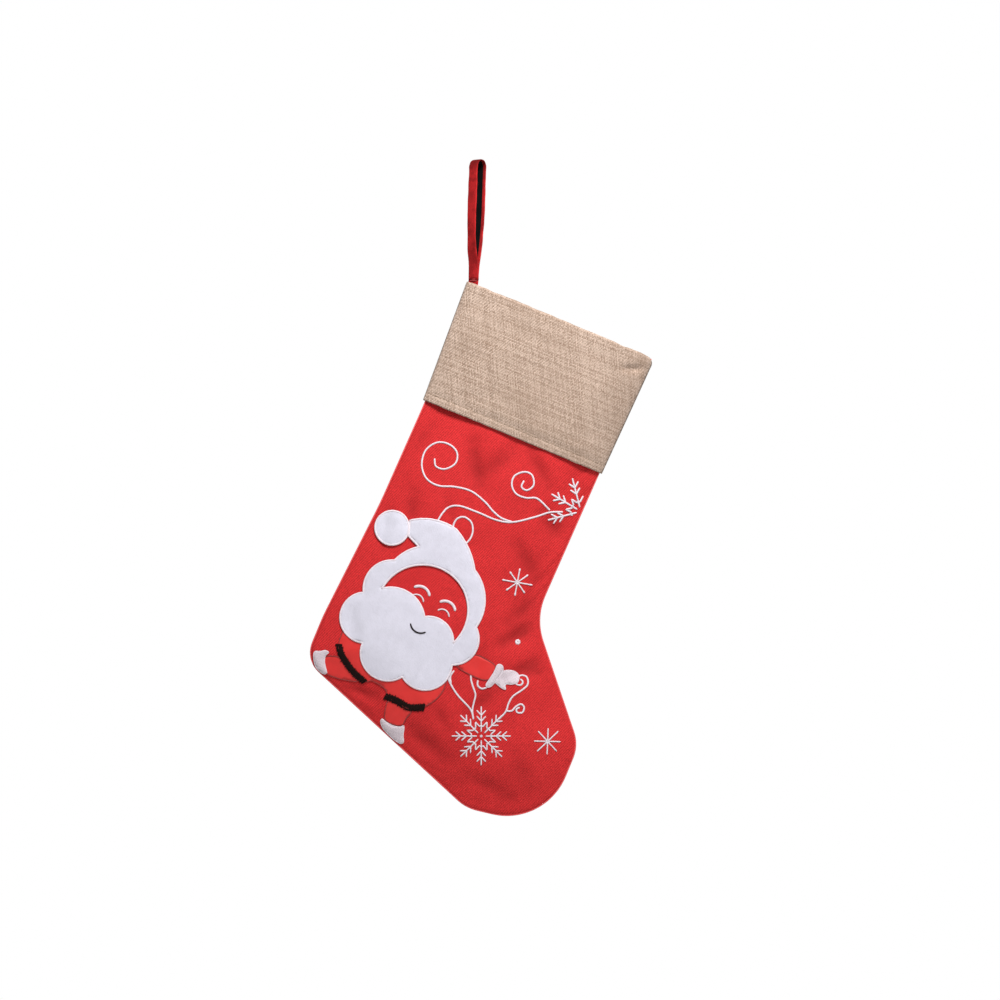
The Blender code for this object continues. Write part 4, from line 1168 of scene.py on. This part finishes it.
class STOCKING_OT_figure(bpy.types.Operator):
    """Makes the figure's coat, felt hat, beard and pompom, with their stitched edges"""
    bl_idname = "stocking.figure"
    bl_label = "Figure"

    def execute(self, context):
        ground = Ground("leg_front_cloth")
        smooth, felt = satin("coat_satin", colours().satin), felted("white_felt", colours().felt)
        edge = embroidered("coat_edge", (0.30, 0.012, 0.010), 0.8, 0.6)
        white = embroidered("border_thread", [min(1, c * 1.06) for c in colours().thread], 0.6)
        cloth = 0.45 * MM
        for name, points in SATIN_PIECES.items():
            outline = eased(points)
            made = laid_piece(f"{name}_cloth", ground, outline, cloth, smooth, 0.1, stands_for=[name],
                              slot="red_satin")
            shape = bmesh.new()
            sew_line(shape, ground, outline, 0.95 * MM, 0.3 * MM, 0.5, closed=True)
            add_thread(f"{name}_edge", shape, edge, slot="red_satin", joined=True)

        thick = sizes().felt
        outer, opening = bowed(on_head(HAT_AND_BEARD)), bowed(on_head(FACE))
        made = laid_piece("hat_and_beard_felt", ground, outer, thick, felt, 0.5, opening, 3.0, 0.35,
                          stands_for=["hat_and_beard"], slot="white_felt")
        ball = ring_of(on_head([POMPOM_AT])[0], POMPOM_RADIUS)
        made = laid_piece("pompom_felt", ground, ball, thick, felt, 0.8, None, 3.0, 0.5,
                          stands_for=["pompom"], slot="white_felt")
        for name, line, lift in (("felt_border", outer, 1.05), ("face_border", opening, 1.05),
                                 ("pompom_border", ball, 1.45)):
            shape = bmesh.new()
            sew_line(shape, ground, line, 2.1 * MM, 0.62 * MM, lift, closed=True)
            add_thread(f"{name}_stitch", shape, white, [name], joined=True)
        return {"FINISHED"}


# ---------------------------------------------------------------- embroidery


LINES = {
    "swirl_large": [(36, -167), (40, -173), (49, -172), (56, -163), (53, -153), (43, -149), (32, -152),
                    (25, -163), (27, -177), (36, -187), (49, -189), (64, -184), (80, -182), (96, -186.5),
                    (106, -191.5), (116, -194.5), (127, -194)],
    "swirl_from_hat": [(61, -222), (62.5, -212), (66, -204), (75, -199), (93, -198), (112, -198), (127, -194),
                       (144, -182), (156, -172), (167, -167)],
    "curl_on_hat": [(79, -226), (76.5, -218), (77.5, -211), (83, -207), (91, -209), (95.5, -216), (96, -224),
                    (93, -232)],
    "swirl_small": [(122, -154), (122, -160), (128, -161), (132, -154), (127, -146), (119, -146), (112, -153),
                    (113, -162), (120, -168), (130, -168), (140, -164.5), (155, -170)],
}
SCROLLS = {
    "scroll_left": [[(121, -336), (126, -343), (127.5, -353), (132, -358), (142, -365), (157, -372),
                     (163, -378)],
                    [(129.5, -345), (128.5, -351), (131.5, -357)]],
    "scroll_middle": [[(146, -343), (148, -347), (152, -352), (157, -358), (158.5, -366), (160, -373),
                       (164, -380)],
                      [(154, -345), (155.5, -349), (160, -350.5), (164, -348)]],
    "scroll_right": [[(186, -371), (189.5, -362), (189, -353), (190.5, -345.5), (196.5, -336.5), (199, -330),
                      (195.5, -324.5), (190, -325), (187, -329.5), (189, -334), (193, -333.5), (194, -330),
                      (191, -328.5)]],
    "scroll_curl": [[(190, -361), (194.5, -359), (196.5, -354), (200, -350), (204, -351.5), (204.5, -356.5),
                     (200, -358.5), (198, -356), (200, -353.5)]],
}
# Areas of long stitches: each is an outline and the turn of its rows from the leg's length
FILLED = {
    "mitten_cuff": ([(165.0, -323.0), (170.0, -322.5), (172.4, -326.0), (171.6, -331.0), (169.8, -340.0),
                     (166.5, -347.3), (161.9, -346.6), (163.8, -339.0), (165.3, -330.0)], 1.45),
    "mitten": ([(170.8, -329.0), (175.5, -325.0), (183.0, -323.3), (189.0, -326.0), (190.0, -332.5),
                (184.6, -336.4), (180.0, -337.2), (179.2, -339.5), (182.4, -343.0), (177.0, -342.8),
                (172.5, -341.0), (169.2, -340.5)], 0.35),
    "boot_left": ([(-0.4, -378.9), (5.6, -377.2), (10.0, -373.7), (14.4, -374.4), (11.5, -377.5),
                   (12.4, -383.6), (16.7, -390.1), (19.9, -393.8), (15.9, -396.2), (6.9, -392.5),
                   (2.5, -386.0)], 1.2),
    "boot_right": ([(84.4, -412.8), (87.7, -414.8), (97.2, -415.8), (103.9, -413.8), (105.5, -410.7),
                    (107.1, -414.2), (108.3, -420.4), (111.8, -425.6), (110.2, -429.0), (102.2, -427.9),
                    (90.2, -422.9), (86.6, -420.2), (83.1, -415.8)], 0.5),
}
BANDS = {
    "band_left": ([(19.4, -363.7), (25.9, -372.1), (40.7, -381.8), (55.5, -387.3)], 6.0),
    "band_right": ([(78.7, -392.3), (89.8, -391.8), (103.7, -393.2), (117.0, -387.3)], 6.5),
}


def arm_lines(middle, turn, inner, length, barbs, reach, slope=math.radians(42)):
    """One arm of a snowflake and its pairs of barbs, as lines."""
    out = Vector((math.cos(turn), math.sin(turn)))
    lines = [[middle + out * inner, middle + out * (inner + length) / 2, middle + out * length]]
    for place in barbs:
        for way in (-1, 1):
            tip = Matrix.Rotation(way * slope, 2) @ out
            root = middle + out * place
            lines.append([root, root + tip * reach / 2, root + tip * reach])
    return lines


class STOCKING_OT_embroidery(bpy.types.Operator):
    """Sews the swirls, scrolls, stars, snowflakes, face lines, mitten, boots and dark bands"""
    bl_idname = "stocking.embroidery"
    bl_label = "Embroidery"

    def execute(self, context):
        self.ground = Ground("leg_front_cloth")
        self.on_felt = Ground("leg_front_cloth", "hat_and_beard_felt")
        self.white = embroidered("white_thread", colours().thread)
        self.black = embroidered("black_thread", colours().dark_thread, 0.8, 0.7, gloss=0.12, sheen=0.0)
        wide = sizes().thread_width

        for name, points in LINES.items():
            self.sew(name, [curve_through(points)], wide)
        for name, lines in SCROLLS.items():
            self.sew(name, [curve_through(points) for points in lines], wide)
        for side, middle in (("left", -9.0), ("right", 19.0)):
            self.sew(f"brow_{side}", [arch((middle - 8, 15), (middle + 8, 15), 4.0)], 2.7 * MM, 0.6 * MM)
            self.sew(f"eyelid_{side}", [arch((middle - 6, 7), (middle + 6, 7), 3.5)], 1.4 * MM)
        self.sew("smile", [arch((-3, -17), (13, -17), -4.0)], 1.5 * MM, paint=self.black, ground=self.on_felt,
                 slot="black_thread")

        arms = [13.5, 11.5, 12.5, 11.5, 13.5, 12, 12, 11.5]
        self.star("star_upper", (153, -245), arms, math.radians(12), 1.9)
        arms = [12, 13.5, 12, 13, 12.5, 13, 12, 12.5]
        self.star("star_lower", (237, -373), arms, math.radians(20))
        self.sew("stitched_dot", [ring_of((175, -297), 1.5, 12)], 2.6 * MM, 0.7 * MM, closed=True)
        turns = [math.radians(22.5 + 45 * k) for k in range(8)]
        self.snowflake("snowflake_foot", Vector((177, -392)), turns, 27.5, (14, 19.5), 6.0, True)
        turns = [math.radians(t) for t in (127, 172, 217)]
        self.snowflake("snowflake_edge", Vector((183, -160)), turns, 32.0, (17, 23), 6.5, False)

        for name, (points, turned) in FILLED.items():
            fill = filled_stitch(f"{name}_fill", [c * 0.9 for c in colours().thread], turned)
            outline = eased(points)
            made = laid_piece(f"{name}_thread", self.ground, outline, 0.9 * MM, fill, 0.1, None, 2.5, 0.3,
                              stands_for=[name] if name in frame["nodes"] else (), slot="white_thread")
            self.sew(f"{name}_edge", [outline], 0.9 * MM, 0.4 * MM, 0.55, closed=True, stands=False)
        over_coat = Ground("leg_front_cloth", "coat_cloth", "trouser_left_cloth", "trouser_right_cloth")
        for name, (points, width) in BANDS.items():
            self.band(name, over_coat, points, width)
        return {"FINISHED"}

    def sew(self, name, lines, width, rise=None, lift=0.25, closed=False, paint=None, ground=None,
            stands=True, slot="white_thread"):
        shape = bmesh.new()
        for line in lines:
            sew_line(shape, ground or self.ground, line, width, rise or width * 0.28, lift, closed)
        add_thread(f"{name}_line", shape, paint or self.white, [name] if stands else (), slot, closed)

    def star(self, name, middle, lengths, turned, knob=0.0):
        lines = []
        for k, length in enumerate(lengths):
            a = turned + math.tau * k / len(lengths)
            out = Vector((math.cos(a), math.sin(a)))
            lines.append([Vector(middle) + out * d for d in (0.6, length / 2, length)])
            if knob:
                lines.append([Vector(middle) + out * d for d in (length - 1.5, length - 0.6, length + 0.4)])
        shape = bmesh.new()
        for k, line in enumerate(lines):
            fat = knob if knob and k % 2 else 1.35
            sew_line(shape, self.ground, line, fat * MM, fat * 0.32 * MM, 0.3)
        add_thread(f"{name}_line", shape, self.white, [name])

    def snowflake(self, name, middle, turns, length, barbs, reach, whole):
        lines = [line for turn in turns for line in arm_lines(middle, turn, 4.5, length, barbs, reach)]
        half = math.radians(22.5)
        zigzag = []
        for turn in turns:
            for share, radius in ((-1.0, 14.5), (-0.42, 9.0), (0.0, 10.5), (0.42, 9.0)):
                a = turn + half * share
                zigzag.append(middle + Vector((math.cos(a), math.sin(a))) * radius)
        lines.append(zigzag + (zigzag[:1] if whole else []))
        if whole:
            lines.append(ring_of(middle, 0.9, 10))
        self.sew(name, lines, sizes().thread_width * (0.78 if whole else 1.0))

    def band(self, name, ground, points, width):
        """A dark band of stitches laid side by side across it, with uneven ends."""
        shape = bmesh.new()
        line = evenly(curve_through(points), 0.62)
        for i, point in enumerate(line):
            ahead = (line[min(i + 1, len(line) - 1)] - line[max(i - 1, 0)]).normalized()
            side = Vector((-ahead.y, ahead.x)) + ahead * 0.25
            high, low = (0.48 + 0.35 * noise.noise(Vector((i * 0.9, k, 2.0))) for k in (0.0, 7.0))
            across = [point + side * width * share for share in (-low, -low * 0.4, high * 0.4, high)]
            dash = [ground.at(p, 0.35) for p in across]
            tube(shape, [p for p, _ in dash], [n for _, n in dash], 0.95 * MM, 0.45 * MM, sides=6)
        add_thread(f"{name}_thread", shape, self.black, [name], "black_thread")


# ---------------------------------------------------------------- the add-on


OPERATORS = (STOCKING_OT_stage, STOCKING_OT_loop, STOCKING_OT_leg, STOCKING_OT_cuff, STOCKING_OT_figure,
             STOCKING_OT_embroidery)


class STOCKING_PT_panel(bpy.types.Panel):
    """Lists the stocking's pieces, sizes and colours"""
    bl_idname = "STOCKING_PT_panel"
    bl_label = "Stocking"
    bl_space_type = "VIEW_3D"
    bl_region_type = "UI"
    bl_category = "Stocking"

    def draw(self, context):
        for group in (context.scene.stocking_sizes, context.scene.stocking_colours):
            box = self.layout.box()
            for key in group.bl_rna.properties.keys():
                if key not in ("rna_type", "name"):
                    box.prop(group, key)
        for operator in OPERATORS:
            self.layout.operator(operator.bl_idname)


CLASSES = (StockingSizes, StockingColours, *OPERATORS, STOCKING_PT_panel)


def register():
    for each in CLASSES:
        bpy.utils.register_class(each)
    bpy.types.Scene.stocking_sizes = bpy.props.PointerProperty(type=StockingSizes)
    bpy.types.Scene.stocking_colours = bpy.props.PointerProperty(type=StockingColours)


def unregister():
    del bpy.types.Scene.stocking_sizes
    del bpy.types.Scene.stocking_colours
    for each in reversed(CLASSES):
        bpy.utils.unregister_class(each)


def main():
    register()
    for operator in OPERATORS:
        category, name = operator.bl_idname.split(".")
        getattr(getattr(bpy.ops, category), name)()


if __name__ == "__main__":
    main()
